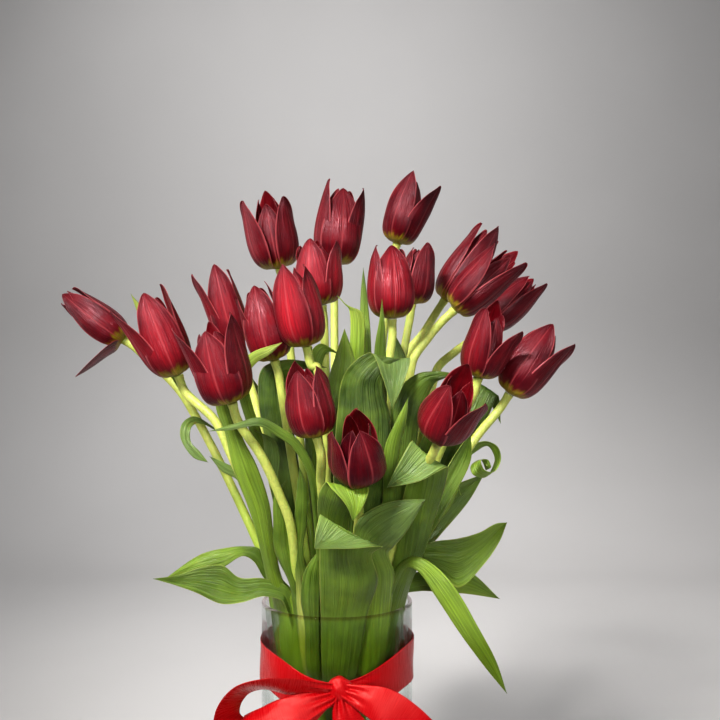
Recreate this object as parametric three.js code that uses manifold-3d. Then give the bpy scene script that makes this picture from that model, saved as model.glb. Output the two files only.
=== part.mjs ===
// Twenty dark red tulips standing in a clear glass cylinder vase, tied with a satin ribbon.
// Millimetres, +Z up. The origin is the middle of the vase's foot, and -Y is the front.
import * as THREE from 'three';
import { mergeVertices } from 'three/addons/utils/BufferGeometryUtils.js';
import Module from 'manifold-3d';

const wasm = await Module();
wasm.setup();

// ---- driving dimensions -------------------------------------------------------------------

const GAP = 0.3; // left between pieces that touch

const VASE = {
  radius: 60, wall: 3, floor: 12, height: 200, sides: 36, footRound: 3, rimRound: 1.5, insideRound: 4,
};
const WATER_LEVEL = 80;

const STEM = { sides: 6, foot: 3.9, neck: 3.3, straightTo: 86, waist: 118, coarseSpans: 4 };
const SPREAD = [ // how far apart the stems are kept at each height, and the circle that holds them
  { z: STEM.waist, apart: 9.4, within: 29, ease: 0 },
  { z: 160, apart: 9.4, within: 38, ease: 0.5 },
  { z: 200, apart: 9.2, within: 46, ease: 0.75 },
];
const WAIST_SHARE = 0.14; // a stem's place at the waist, as a share of its bloom's place in plan
const NECK_RUN = 14; // the last stretch of a stem runs along its bloom's axis

const LEAF = { thick: 1.3, root: 7, fullBowWidth: 20 }; // a leaf narrower than that bows less
const PETAL = {
  thick: 0.9, halfWidth: 15.8, usualGirth: 18,
  rings: [0, 0.2, 0.55, 0.86], // where along a petal its rings lie
  sunk: 0.6, // how far past the bloom's base the petals start
  seat: 0.22, // the circle they start on, as a share of the girth
  inset: 2.4, // how far inside the girth a closed petal stays
  roundness: 1.05, // a petal's own radius across, as a share of its bloom's
  nest: [1, 0.93, 0.86, 0.74, 0.66, 0.58], // each petal of a bloom lies inside the one before it
};
const RECEPTACLE = { radius: 6, height: 5.5, sides: 6 };

const RIBBON = { width: 31, thick: 1, off: 0.4, centre: 155.5, dip: 18.5, tilt: 0.5, backRise: 3, steps: 36 };
const KNOT = { across: 18, up: 18, deep: 11, centre: [3, -67.3, 150], sides: 10, rows: 6 };

const LOOKS = {
  glass: { color: 0xdfe6e6, roughness: 0.05, metalness: 0, transparent: true, opacity: 0.3 },
  water: { color: 0xdbe6df, roughness: 0.05, metalness: 0, transparent: true, opacity: 0.4 },
  ribbon: { color: 0xc81e28, roughness: 0.4, metalness: 0 },
  petal: { color: 0x7a1c2b, roughness: 0.5, metalness: 0 },
  leaf: { color: 0x6d9a3f, roughness: 0.5, metalness: 0 },
};

// Places are written as [across, up, depth]: what they cover, in millimetres, on the upright
// plane through the vase's axis, seen from EYE, and how far behind that plane they lie.
const EYE = new THREE.Vector3(18.4, -800, 391);

function seen([across, up, depth]) {
  const reach = (depth - EYE.y) / -EYE.y;
  return new THREE.Vector3(
    EYE.x + (across - EYE.x) * reach,
    depth,
    EYE.z + (up - EYE.z) * reach,
  );
}

// ---- the flowers --------------------------------------------------------------------------

// base and tip are the ends of the bloom's axis and girth its largest radius. A petal is
// [turn, reach, spread]: degrees round the axis from the front, length as a share of the
// bloom's, and how far its tip stands from the axis. via are places that the stem passes.
const FLOWERS = [
  { base: [-170, 407, 30], tip: [-218, 443, 34], girth: 16.5, via: [[-120, 358, 20]],
    petals: [[0, 1, 3], [105, 0.97, 9], [-58, 0.1, 52], [-60, 0.94, 8], [50, 0.97, 6], [180, 0.97, 6]] },
  { base: [-127, 379, -40], tip: [-154, 444, -46], girth: 20,
    via: [[-98, 343, -48], [-85, 316, -50], [-62, 262, -42]],
    petals: [[5, 1, 4], [-62, 0.94, 29], [110, 1.03, 14], [-42, 0.88, 9], [62, 0.9, 8], [-178, 0.98, 7]] },
  { base: [-84, 357, -88], tip: [-104, 420, -96], girth: 21,
    via: [[-61, 315, -80], [-49, 290, -72], [-37, 258, -62]],
    petals: [[-10, 0.92, 8], [62, 1.05, 21], [-64, 1.07, 25], [47, 0.88, 6], [-62, 0.9, 8], [176, 1, 9]] },
  { base: [-80, 403, 20], tip: [-98, 467, 16], girth: 17, via: [[-67, 363, 5], [-62, 340, -8]],
    petals: [[0, 1, 3], [-68, 0.95, 20], [95, 0.9, 9], [58, 0.68, 10], [-50, 0.86, 6], [180, 0.95, 5]] },
  { base: [-50, 391, -34], tip: [-66, 450, -40], girth: 19.5, via: [],
    petals: [[-5, 1, 2], [95, 1.02, 8], [-76, 0.9, 15], [-50, 0.93, 6], [52, 0.95, 4], [180, 0.95, 4]] },
  { base: [-46, 464, 62], tip: [-58, 523, 60], girth: 21, via: [],
    petals: [[-60, 0.95, 21], [55, 0.9, 19], [175, 1.06, 5], [0, 0.86, 5], [-120, 0.95, 7],
      [115, 0.93, 7]] },
  { base: [-1, 467, 84], tip: [5, 530, 82], girth: 22.5, via: [],
    petals: [[10, 0.96, 4], [-68, 1.06, 13], [64, 0.97, 20], [-48, 0.95, 5], [58, 0.93, 6],
      [178, 0.97, 5]] },
  { base: [-12, 435, 6], tip: [-18, 489, 4], girth: 19.5, via: [],
    petals: [[-20, 0.97, 9], [64, 0.9, 19], [-118, 0.9, 14], [38, 0.85, 5], [-78, 0.92, 7],
      [165, 0.95, 6]] },
  { base: [-24, 402, -52], tip: [-38, 468, -58], girth: 19, via: [[-16, 385, -50], [-10, 345, -46]],
    petals: [[-25, 1, 11], [62, 0.95, 11], [-142, 0.92, 14], [32, 0.9, 4], [-85, 0.92, 8],
      [152, 0.94, 5]] },
  { base: [-16, 330, -100], tip: [-28, 387, -106], girth: 18, via: [[-13, 291, -76]],
    petals: [[-24, 0.94, 8], [58, 0.95, 11], [-145, 1.05, 8], [30, 0.85, 4], [-82, 0.88, 5],
      [155, 0.92, 4]] },
  { base: [17, 296, -92], tip: [14, 339, -114], girth: 20.5, via: [[17, 258, -60]],
    petals: [[30, 0.95, 6], [-64, 1, 17], [165, 1.13, 10], [-26, 0.95, 5], [88, 1, 9], [-150, 1.08, 7]] },
  { base: [44, 424, -10], tip: [43, 482, -12], girth: 20.5, via: [[40, 380, -11], [38, 330, -12]],
    petals: [[6, 1, 2], [-70, 1, 12], [104, 0.95, 8], [-54, 0.93, 4], [64, 0.93, 4], [-175, 0.95, 4]] },
  { base: [60, 436, 48], tip: [67, 483, 48], girth: 16.5, via: [],
    petals: [[34, 1.03, 9], [-74, 0.92, 6], [160, 0.95, 6], [92, 0.92, 7], [-16, 0.9, 4],
      [-140, 0.92, 5]] },
  { base: [48, 484, 92], tip: [64, 538, 92], girth: 18, via: [],
    petals: [[-30, 1.03, 8], [50, 0.9, 28], [-150, 0.95, 8], [18, 0.9, 5], [-90, 0.93, 5],
      [150, 0.86, 7]] },
  { base: [86, 439, 78], tip: [124, 497, 80], girth: 17.5, via: [[70, 414, 72], [55, 392, 64]],
    petals: [[-72, 0.96, 10], [30, 1.03, 7], [148, 0.92, 12], [-26, 0.92, 5], [88, 0.9, 10],
      [-150, 0.95, 6]] },
  { base: [94, 431, 6], tip: [140, 474, 2], girth: 17, via: [[74, 410, 5], [60, 388, 2]],
    petals: [[-52, 0.92, 21], [50, 1.05, 15], [180, 1.1, 5], [0, 0.95, 4], [-120, 1, 7], [120, 0.97, 6]] },
  { base: [121, 419, 52], tip: [158, 456, 54], girth: 16, via: [[95, 398, 46], [79, 381, 38]],
    petals: [[50, 1.04, 13], [-55, 0.95, 6], [180, 1, 5], [3, 0.92, 4], [-118, 0.92, 5], [120, 0.95, 5]] },
  { base: [113, 377, -42], tip: [128, 430, -48], girth: 17.5, via: [[84, 322, -22]],
    petals: [[-45, 1, 13], [50, 0.82, 26], [-172, 1.15, 6], [8, 0.9, 4], [-112, 0.95, 5], [130, 0.95, 6]] },
  { base: [138, 364, -28], tip: [172, 416, -32], girth: 19,
    via: [[112, 330, -32], [91, 298, -35], [68, 251, -37]],
    petals: [[-20, 1.04, 6], [54, 0.97, 23], [-142, 0.95, 9], [40, 0.93, 7], [-81, 0.95, 5],
      [158, 0.95, 6]] },
  { base: [82, 329, -98], tip: [101, 375, -124], girth: 20, via: [[64, 292, -62], [50, 256, -52]],
    petals: [[-42, 0.95, 12], [47, 0.95, 24], [178, 1.1, 13], [14, 0.9, 6], [-112, 0.95, 8],
      [128, 0.95, 8]] },
];

// A leaf grows from stem `on` at height `root`. edges are pairs of places along it, written
// [across, up, across, up, depth, skew]: its left edge, its right edge, their depth, and how
// much deeper the right edge lies. bow is how far its middle stands proud of its edges.
const LEAVES = [
  // the broad leaves in front, from left to right
  { on: 2, root: 112, bow: -5, tip: [-147, 216, -46], edges: [
    [-42, 196, -38, 207, -40, 6], [-58, 202, -58, 216, -44, 6], [-76, 197, -78, 217, -46, 8],
    [-93, 196, -92, 227, -48, 8], [-113, 205, -110, 225, -48, 6], [-130, 211, -127, 219, -47, 3]] },
  { on: 2, root: 122, bow: 3, tip: [-139, 215, -34], edges: [
    [-42, 202, -34, 203, -30, 4], [-58, 216, -50, 222, -32, 4], [-67, 230, -62, 240, -36, 5],
    [-76, 234, -72, 242, -38, 6], [-92, 225, -86, 241, -38, 6], [-112, 220, -110, 235, -37, 4]] },
  { on: 2, root: 104, bow: 5, tip: [-93, 374, -62], edges: [
    [-40, 128, -20, 128, -16, -12], [-48, 160, -21, 160, -18, -14],
    [-51, 195, -25, 193, -20, -12], [-57, 219, -42, 212, -37, 4], [-64, 250, -50, 246, -50, 4],
    [-71, 273, -54, 276, -56, 4], [-83, 304, -64, 306, -60, 3], [-90, 334, -76, 330, -62, 2],
    [-97, 354, -83, 354, -62, 2]] },
  { on: 2, root: 180, bow: 3, tip: [-165, 444, -14], edges: [
    [-94, 337, -86, 333, -26, 3], [-118, 357, -110, 352, -20, 3], [-131, 375, -121, 370, -16, 3],
    [-148, 402, -138, 399, -14, 2], [-160, 430, -152, 428, -14, 1]] },
  { on: 3, root: 116, bow: 5, tip: [-40, 296, -62], edges: [
    [-34, 186, -18, 184, -38, 0], [-38, 212, -30, 204, -44, 0], [-50, 238, -36, 236, -50, 0],
    [-51, 262, -40, 262, -56, 0], [-50, 282, -42, 284, -60, 0]] },
  { on: 3, root: 120, bow: 4, tip: [-30, 305, -68], edges: [
    [-27, 146, -16, 146, -38, 0], [-32, 190, -16, 186, -43, 0], [-33, 214, -22, 214, -49, 0],
    [-34, 240, -27, 238, -55, 0],
    [-34, 264, -24, 262, -61, 0], [-32, 290, -24, 290, -66, 0]] },
  { on: 10, root: 108, bow: 3, tip: [-14, 240, -60], edges: [
    [-24, 140, -13, 140, -42, 0], [-26, 180, -14, 180, -48, 0], [-29, 200, -14, 200, -54, 0],
    [-26, 222, -14, 222, -58, 0]] },
  { on: 10, root: 130, bow: 3, tip: [-102, 334, -98], edges: [
    [-17, 240, -12, 240, -62, 0], [-20, 275, -14, 277, -74, 2], [-24, 300, -18, 304, -82, 2],
    [-35, 320, -30, 326, -88, 2], [-48, 330, -45, 337, -92, 2], [-63, 338, -62, 345, -96, 2],
    [-84, 335, -82, 340, -98, 1]] },
  { on: 10, root: 100, bow: 5, tip: [-18, 240, -90], edges: [
    [-12, 140, 16, 140, -42, 0], [-13, 185, 25, 190, -50, 0], [-14, 214, 33, 214, -63, 0],
    [-14, 240, 28, 236, -73, 0], [-13, 268, 36, 241, -80, 0], [-17, 254, 12, 240, -87, 0]] },
  { on: 11, root: 102, bow: 4, tip: [71, 280, -88], edges: [
    [15, 140, 36, 140, -38, 6], [16, 180, 42, 182, -44, 8], [18, 222, 46, 220, -56, 4],
    [14, 256, 41, 236, -67, 0],
    [22, 268, 45, 241, -74, 0], [44, 278, 56, 254, -82, 0]] },
  { on: 11, root: 150, bow: 3, tip: [13, 262, -109], edges: [
    [-8, 240, 10, 240, -64, 0], [-15, 264, 10, 264, -76, 0], [-15, 282, 20, 280, -92, 0],
    [-9, 294, 25, 290, -100, 0], [-4, 288, 25, 284, -108, 0], [7, 275, 20, 272, -111, 0]] },
  { on: 20, root: 104, bow: 5, tip: [40, 289, -93], edges: [
    [26, 136, 44, 138, -28, 10], [32, 168, 50, 170, -27, 11], [35, 196, 55, 199, -36, 12],
    [46, 234, 70, 238, -52, 4], [52, 276, 83, 279, -66, 0],
    [57, 300, 88, 297, -76, 0], [60, 326, 88, 305, -85, 0], [48, 306, 66, 294, -91, 0]] },
  { on: 12, root: 124, bow: 7, tip: [44, 352, -66], edges: [
    [-2, 250, 30, 250, -44, 0], [-3, 300, 40, 295, -50, 0], [0, 346, 43, 342, -52, 0],
    [6, 380, 38, 374, -53, 0], [26, 397, 58, 392, -58, 0], [36, 378, 54, 374, -64, 0]] },
  { on: 12, root: 136, bow: 3, tip: [57, 361, -70], edges: [
    [34, 250, 46, 250, -52, 0], [37, 290, 47, 298, -62, 0], [38, 320, 52, 326, -68, 0],
    [46, 340, 56, 346, -70, 0]] },
  { on: 20, root: 134, bow: 4, tip: [95, 380, -56], edges: [
    [42, 270, 60, 270, -40, 0], [42, 312, 62, 308, -44, 0], [44, 346, 66, 340, -46, 0],
    [50, 368, 72, 360, -46, 0], [64, 380, 78, 372, -50, 0], [80, 382, 85, 376, -54, 0]] },
  // the leaves that hang and reach out on the right
  { on: 19, root: 150, bow: -6, tip: [136, 261, -24], edges: [
    [55, 226, 59, 220, -28, -4], [64, 241, 70, 226, -28, -8], [78, 246, 84, 219, -28, -10],
    [96, 248, 98, 209, -28, -10], [114, 253, 118, 228, -26, -6], [127, 260, 130, 246, -25, -2]] },
  { on: 19, root: 144, bow: 4, tip: [130, 200, 4], edges: [
    [52, 214, 50, 201, -8, -6], [66, 222, 66, 206, -2, -6], [86, 226, 84, 205, 0, -6],
    [106, 222, 103, 204, 2, -4]] },
  { on: 20, root: 158, bow: 3, tip: [136, 124, -64], edges: [
    [46, 222, 50, 216, -50, 2], [60, 234, 56, 225, -59, 2], [76, 228, 66, 221, -66, 2],
    [93, 211, 80, 200, -69, 2], [112, 179, 98, 173, -69, 2], [127, 151, 117, 147, -66, 1]] },
  { on: 19, root: 168, bow: -4, tip: [107, 333, -46], edges: [
    [50, 234, 62, 231, -44, 4], [66, 264, 78, 256, -46, 2], [82, 294, 95, 285, -46, 2],
    [96, 318, 107, 311, -45, 2]] },
  { on: 17, root: 118, bow: 4, tip: [131, 340, 6], edges: [
    [40, 150, 52, 150, 2, 4], [44, 194, 54, 194, 4, 4], [58, 256, 74, 250, 8, 0],
    [76, 296, 94, 290, 4, 0], [88, 328, 108, 320, 2, 0],
    [100, 356, 121, 346, 2, 0], [112, 373, 129, 362, 4, 0]] },
  // the curled slips: one arched on the left, one coiled on the right, small ones between
  { on: 1, root: 176, bow: 1.5, tip: [-103, 309, -30], edges: [
    [-88, 326, -84, 324, 4, 0], [-104, 341, -101, 337, -6, 0], [-115, 346, -112, 340, -14, 0],
    [-124, 340, -117, 336, -22, 0], [-125, 328, -117, 326, -26, 0], [-115, 313, -110, 318, -30, 0]] },
  { on: 19, root: 236, bow: 1.5, tip: [119, 307, -14], edges: [
    [101, 318, 105, 312, -22, 6], [112, 325, 113, 319, -16, 8], [121, 326, 120, 322, -12, 8],
    [129, 321, 124, 318, -10, 7], [131, 311, 126, 310, -11, 5], [126, 302, 119, 297, -13, 5],
    [118, 303, 109, 299, -18, 5], [115, 311, 107, 306, -14, 5], [121, 311, 115, 311, -9, 5],
    [123, 305, 119, 303, -12, 4]] },
  { on: 17, root: 170, bow: 2, tip: [99, 283, 6], edges: [
    [72, 262, 78, 256, 8, 0], [84, 276, 90, 272, 8, 0], [90, 290, 96, 284, 8, 0],
    [96, 291, 98, 287, 7, 0]] },
  { on: 5, root: 150, bow: 2, tip: [-66, 335, -54], edges: [
    [-48, 262, -40, 262, -40, 0], [-54, 294, -47, 294, -46, 0], [-58, 316, -46, 314, -48, 0],
    [-60, 330, -50, 327, -50, 0]] },
  { on: 1, root: 118, bow: 3, tip: [-102, 314, -10], edges: [
    [-46, 150, -34, 150, -4, 0], [-54, 196, -44, 196, -6, 0], [-60, 246, -50, 246, -8, 0],
    [-70, 276, -60, 276, -8, 0], [-80, 295, -73, 300, -8, 0],
    [-92, 302, -88, 308, -9, 0]] },
  // the upright leaves that stand behind
  { on: 5, root: 132, bow: 6, tip: [-8, 385, -28], edges: [
    [-48, 290, -28, 290, -18, 0], [-58, 330, -34, 330, -16, 0], [-63, 362, -38, 360, -16, 0],
    [-60, 384, -36, 374, -18, 0], [-42, 391, -28, 383, -23, 0], [-26, 390, -20, 384, -26, 0]] },
  { on: 9, root: 150, bow: 4, tip: [-44, 405, -78], edges: [
    [-56, 300, -48, 300, -30, 0], [-72, 340, -62, 338, -40, 0], [-80, 368, -70, 364, -58, 0],
    [-80, 386, -72, 378, -68, 0], [-68, 397, -64, 389, -74, 0], [-55, 402, -53, 396, -77, 0]] },
  { on: 9, root: 140, bow: 5, tip: [6, 416, -24], edges: [
    [-14, 290, 6, 290, -28, 0], [-14, 340, 10, 340, -26, 0], [-8, 372, 16, 372, -25, 0],
    [-2, 392, 14, 392, -25, 0]] },
  { on: 7, root: 130, bow: 4, tip: [-3, 445, -2], edges: [
    [2, 300, 14, 300, 6, 0], [6, 350, 20, 350, 4, 0], [10, 400, 22, 400, 2, 0],
    [10, 430, 21, 428, 0, 0], [4, 439, 8, 435, -2, 0]] },
  { on: 13, root: 136, bow: 3, tip: [21, 465, 20], edges: [
    [12, 300, 24, 300, 20, 0], [16, 360, 28, 360, 18, 0], [18, 410, 27, 410, 18, 0],
    [19, 445, 24, 443, 20, 0]] },
  { on: 12, root: 148, bow: 2, tip: [36, 440, -36], edges: [
    [28, 300, 38, 300, -30, 0], [29, 360, 40, 360, -34, 0], [30, 400, 39, 400, -36, 0],
    [34, 424, 38, 422, -37, 0]] },
  { on: 13, root: 150, bow: 5, tip: [44, 416, 30], edges: [
    [30, 300, 50, 300, 26, 0], [34, 350, 58, 350, 28, 0], [38, 390, 56, 390, 30, 0]] },
  { on: 8, root: 140, bow: 4, tip: [2, 396, -4], edges: [
    [-24, 300, -8, 300, 2, 0], [-26, 350, -10, 350, 0, 0], [-24, 390, -12, 384, -2, 0],
    [-14, 404, -8, 397, -3, 0]] },
  { on: 4, root: 130, bow: 5, tip: [-70, 380, 24], edges: [
    [-44, 260, -28, 260, 18, 0], [-56, 310, -38, 310, 20, 0], [-68, 352, -52, 352, 22, 0]] },
  // the leaves on the far side
  { on: 6, root: 126, bow: -6, tip: [-74, 350, 90], edges: [
    [-34, 230, -10, 232, 44, 0], [-48, 276, -20, 280, 60, 0], [-64, 320, -40, 324, 78, 0]] },
  { on: 14, root: 126, bow: -6, tip: [52, 388, 92], edges: [
    [8, 240, 34, 240, 50, 0], [16, 300, 46, 300, 68, 0], [30, 354, 56, 354, 84, 0]] },
  { on: 15, root: 120, bow: -5, tip: [96, 340, 86], edges: [
    [34, 234, 54, 228, 44, 0], [52, 280, 76, 272, 62, 0], [76, 320, 92, 310, 78, 0]] },
  { on: 7, root: 120, bow: -5, tip: [-10, 372, 96], edges: [
    [-20, 236, 4, 236, 52, 0], [-26, 290, 2, 290, 72, 0], [-20, 340, 0, 340, 88, 0]] },
  { on: 17, root: 126, bow: -4, tip: [118, 300, 44], edges: [
    [44, 226, 56, 216, 30, 0], [66, 262, 80, 248, 38, 0], [94, 290, 104, 276, 42, 0]] },
  { on: 16, root: 128, bow: 4, tip: [84, 352, 14], edges: [
    [40, 236, 56, 232, 14, 0], [52, 280, 70, 276, 16, 0], [66, 324, 82, 318, 15, 0]] },
];

// ---- shape helpers ------------------------------------------------------------------------

const EAST = new THREE.Vector3(1, 0, 0);
const NORTH = new THREE.Vector3(0, 1, 0);

function geometryOf(points, triangles) {
  const geometry = new THREE.BufferGeometry();
  geometry.setAttribute('position', new THREE.Float32BufferAttribute(points.flatMap((p) => p.toArray()), 3));
  geometry.setIndex(triangles.flat());
  return geometry;
}

function solidOf(geometry) {
  const bare = geometry.clone();
  bare.deleteAttribute('normal');
  bare.deleteAttribute('uv');
  const merged = mergeVertices(bare, 1e-4);
  const mesh = new wasm.Mesh({
    numProp: 3,
    vertProperties: new Float32Array(merged.attributes.position.array),
    triVerts: new Uint32Array(merged.index.array),
  });
  return new wasm.Manifold(mesh);
}

function geometryFrom(solid) {
  const mesh = solid.getMesh();
  const geometry = new THREE.BufferGeometry();
  geometry.setAttribute('position', new THREE.Float32BufferAttribute(mesh.vertProperties, 3));
  geometry.setIndex(Array.from(mesh.triVerts));
  return geometry;
}

// A smooth run through the points, t counting points from 0.
function along(points, t) {
  const last = points.length - 1;
  const i = Math.min(Math.floor(t), last - 1);
  const u = t - i;
  const a = points[Math.max(i - 1, 0)];
  const b = points[i];
  const c = points[i + 1];
  const d = points[Math.min(i + 2, last)];
  const out = new THREE.Vector3();
  const span = b.distanceTo(c);
  const before = span / (a.distanceTo(b) + span);
  const after = span / (span + c.distanceTo(d));
  for (const axis of ['x', 'y', 'z']) {
    const into = (c[axis] - a[axis]) * before;
    const away = (d[axis] - b[axis]) * after;
    const rise = c[axis] - b[axis];
    out[axis] = b[axis] + u * (into + u * (3 * rise - 2 * into - away + u * (into + away - 2 * rise)));
  }
  return out;
}

function directionAt(points, t) {
  const last = points.length - 1;
  const step = 0.02;
  return along(points, Math.min(t + step, last)).sub(along(points, Math.max(t - step, 0))).normalize();
}

// Closed skin over rings of equal count; a last ring of one point closes in a tip.
function skin(rings) {
  const sides = rings[0].length;
  const points = rings.flat();
  const triangles = [];
  for (let k = 1; k < sides - 1; k += 1) {
    triangles.push([0, k + 1, k]);
  }
  let start = 0;
  for (let r = 0; r + 1 < rings.length; r += 1) {
    const next = start + rings[r].length;
    for (let k = 0; k < sides; k += 1) {
      const j = (k + 1) % sides;
      if (rings[r + 1].length === 1) {
        triangles.push([start + k, start + j, next]);
      } else if (k < sides / 2) {
        triangles.push([start + k, start + j, next + j], [start + k, next + j, next + k]);
      } else {
        triangles.push([start + k, start + j, next + k], [start + j, next + j, next + k]);
      }
    }
    start = next;
  }
  if (rings.at(-1).length > 1) {
    for (let k = 1; k < sides - 1; k += 1) {
      triangles.push([start, start + k, start + k + 1]);
    }
  }
  return geometryOf(points, triangles);
}

// ---- vase and water -----------------------------------------------------------------------

// A profile of [radius, height] turned about the vase's axis.
function turned(profile) {
  const outline = profile.map(([radius, height]) => new THREE.Vector2(radius, height));
  return new THREE.LatheGeometry(outline, VASE.sides).rotateX(Math.PI / 2);
}

function vaseGeometry(grow = 0) {
  const outer = VASE.radius + grow;
  const inner = VASE.radius - VASE.wall - grow;
  const top = VASE.height + grow;
  const bevel = VASE.footRound * 0.3;
  const profile = [
    [0, 0], [outer - VASE.footRound, 0], [outer - bevel, bevel], [outer, VASE.footRound],
    [outer, top - VASE.rimRound], [outer - VASE.rimRound, top], [inner + VASE.rimRound, top],
    [inner, top - VASE.rimRound], [inner, VASE.floor + VASE.insideRound],
    [inner - VASE.insideRound, VASE.floor], [0, VASE.floor],
  ];
  return turned(profile);
}

function waterGeometry(feet) {
  const radius = VASE.radius - VASE.wall - GAP;
  const bottom = VASE.floor + GAP;
  const profile = [
    [0, bottom], [radius - VASE.insideRound, bottom], [radius, bottom + VASE.insideRound],
    [radius, WATER_LEVEL], [0, WATER_LEVEL],
  ];
  const hole = STEM.foot + GAP / Math.cos(Math.PI / STEM.sides);
  let body = solidOf(turned(profile));
  for (const foot of feet) {
    const ends = [0, VASE.height].map((z) => new THREE.Vector3(foot.x, foot.y, z));
    const rings = ends.map((end) => stemRing(end, EAST, NORTH, hole));
    body = body.subtract(solidOf(skin(rings)));
  }
  return geometryFrom(body);
}

function stemRing(centre, side, other, radius) {
  const ring = [];
  for (let k = 0; k < STEM.sides; k += 1) {
    const turn = (k / STEM.sides) * Math.PI * 2;
    ring.push(centre.clone()
      .addScaledVector(side, radius * Math.cos(turn))
      .addScaledVector(other, radius * Math.sin(turn)));
  }
  return ring;
}

// ---- stems --------------------------------------------------------------------------------

// Moves places in plan apart until each pair keeps its distance, inside a circle.
function spaced(places, apart, within) {
  const spots = places.map((p) => p.clone());
  for (let round = 0; round < 400; round += 1) {
    for (let i = 0; i < spots.length; i += 1) {
      for (let j = i + 1; j < spots.length; j += 1) {
        const between = spots[j].clone().sub(spots[i]);
        const distance = Math.max(between.length(), 0.01);
        if (distance < apart) {
          between.multiplyScalar((apart - distance) / distance / 2);
          spots[i].sub(between);
          spots[j].add(between);
        }
      }
      if (spots[i].length() > within) {
        spots[i].setLength(within);
      }
    }
  }
  return spots;
}

function bloomAxis(flower) {
  return seen(flower.tip).sub(seen(flower.base)).normalize();
}

function stemPaths() {
  const bases = FLOWERS.map((flower) => seen(flower.base));
  const waist = bases.map((b) => new THREE.Vector2(b.x, b.y).multiplyScalar(WAIST_SHARE));
  const levels = [];
  for (const level of SPREAD) {
    const from = levels.length ? levels[0] : waist;
    const places = from.map((w, i) => {
      const rise = (level.z - STEM.waist) / (bases[i].z - STEM.waist);
      const share = level.ease * rise;
      return new THREE.Vector2(w.x + (bases[i].x - w.x) * share, w.y + (bases[i].y - w.y) * share);
    });
    levels.push(spaced(places, level.apart, level.within));
  }
  return FLOWERS.map((flower, i) => {
    const foot = levels[0][i];
    const path = [VASE.floor + GAP, STEM.straightTo].map((z) => new THREE.Vector3(foot.x, foot.y, z));
    SPREAD.forEach((level, k) => path.push(new THREE.Vector3(levels[k][i].x, levels[k][i].y, level.z)));
    flower.via.toReversed().forEach((place) => path.push(seen(place)));
    const axis = bloomAxis(flower);
    const end = bases[i].clone().addScaledVector(axis, -GAP);
    path.push(end.clone().addScaledVector(axis, -NECK_RUN), end);
    return path;
  });
}

function stemSolid(path, grow = 0) {
  const spans = path.length - 1;
  const rings = [];
  let side = EAST;
  for (let t = 0; t <= spans; t += t < STEM.coarseSpans ? 1 : 0.5) {
    const forward = directionAt(path, t);
    side = side.clone().addScaledVector(forward, -side.dot(forward)).normalize();
    const other = forward.clone().cross(side);
    const radius = THREE.MathUtils.lerp(STEM.foot, STEM.neck, t / spans) + grow;
    rings.push(stemRing(along(path, t), side, other, radius));
  }
  return solidOf(skin(rings));
}

// ---- leaves -------------------------------------------------------------------------------

function pathAtHeight(path, z) {
  for (let t = 0; t < path.length - 1; t += 0.02) {
    if (along(path, t).z >= z) {
      return along(path, t);
    }
  }
  return path.at(-1).clone();
}

// How much of its bow a leaf keeps at each place: little where it folds back on itself.
function bowShares(middles) {
  return middles.map((middle, i) => {
    if (i === 0 || i === middles.length - 1) {
      return 0;
    }
    const before = middle.clone().sub(middles[i - 1]).normalize();
    const after = middles[i + 1].clone().sub(middle).normalize();
    return (1 + before.dot(after)) / 2;
  });
}

function leafSolid(leaf, path, grow = 0) {
  const root = pathAtHeight(path, leaf.root);
  const left = [root.clone().add(new THREE.Vector3(-LEAF.root / 2, 0, 0))];
  const right = [root.clone().add(new THREE.Vector3(LEAF.root / 2, 0, 0))];
  for (const [aLeft, upLeft, aRight, upRight, depth, skew] of leaf.edges) {
    left.push(seen([aLeft, upLeft, depth]));
    right.push(seen([aRight, upRight, depth + skew]));
  }
  const tip = seen(leaf.tip);
  left.push(tip);
  right.push(tip);
  const spans = left.length - 1;
  const middles = left.map((place, i) => place.clone().lerp(right[i], 0.5));
  const shares = bowShares(middles);
  const rings = [];
  for (let t = 0; t < spans; t += 1) {
    const middle = middles[t];
    const ahead = along(left, t + 0.1).lerp(along(right, t + 0.1), 0.5).sub(middle);
    const across = right[t].clone().sub(left[t]);
    const proud = across.clone().cross(ahead).normalize();
    const bow = leaf.bow * shares[t] * Math.min(1, across.length() / LEAF.fullBowWidth);
    const half = LEAF.thick / 2 + grow;
    across.normalize();
    rings.push([
      left[t].clone().addScaledVector(across, -grow),
      middle.clone().addScaledVector(proud, bow + half),
      right[t].clone().addScaledVector(across, grow),
      middle.clone().addScaledVector(proud, bow - half),
    ]);
  }
  rings.push([tip]);
  return solidOf(skin(rings));
}

// ---- blooms -------------------------------------------------------------------------------

// How far a petal's middle stands from the axis at v, from 0 at its base to 1 at its tip. Its
// belly lies below half way, and the more the tip spreads, the flatter the belly.
function petalRadius(girth, spread, v) {
  const belly = girth - PETAL.inset - 0.16 * Math.min(spread, 10);
  const swell = Math.sin(Math.PI * v ** 0.6) ** 0.8;
  return PETAL.seat * girth * (1 - v) + spread * v * v + belly * swell;
}

// The share of its full width that a petal has at v: broad low down, from a narrow claw.
function petalWidth(v) {
  return Math.sin(Math.PI * (0.0001 + 0.9999 * v) ** 0.62) ** 0.6;
}

// The directions of a bloom: along its axis, to its front and to its right.
function bloomFrame(flower) {
  const axis = bloomAxis(flower);
  const front = NORTH.clone().negate();
  front.addScaledVector(axis, -front.dot(axis)).normalize();
  return { axis, front, right: axis.clone().cross(front) };
}

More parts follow.
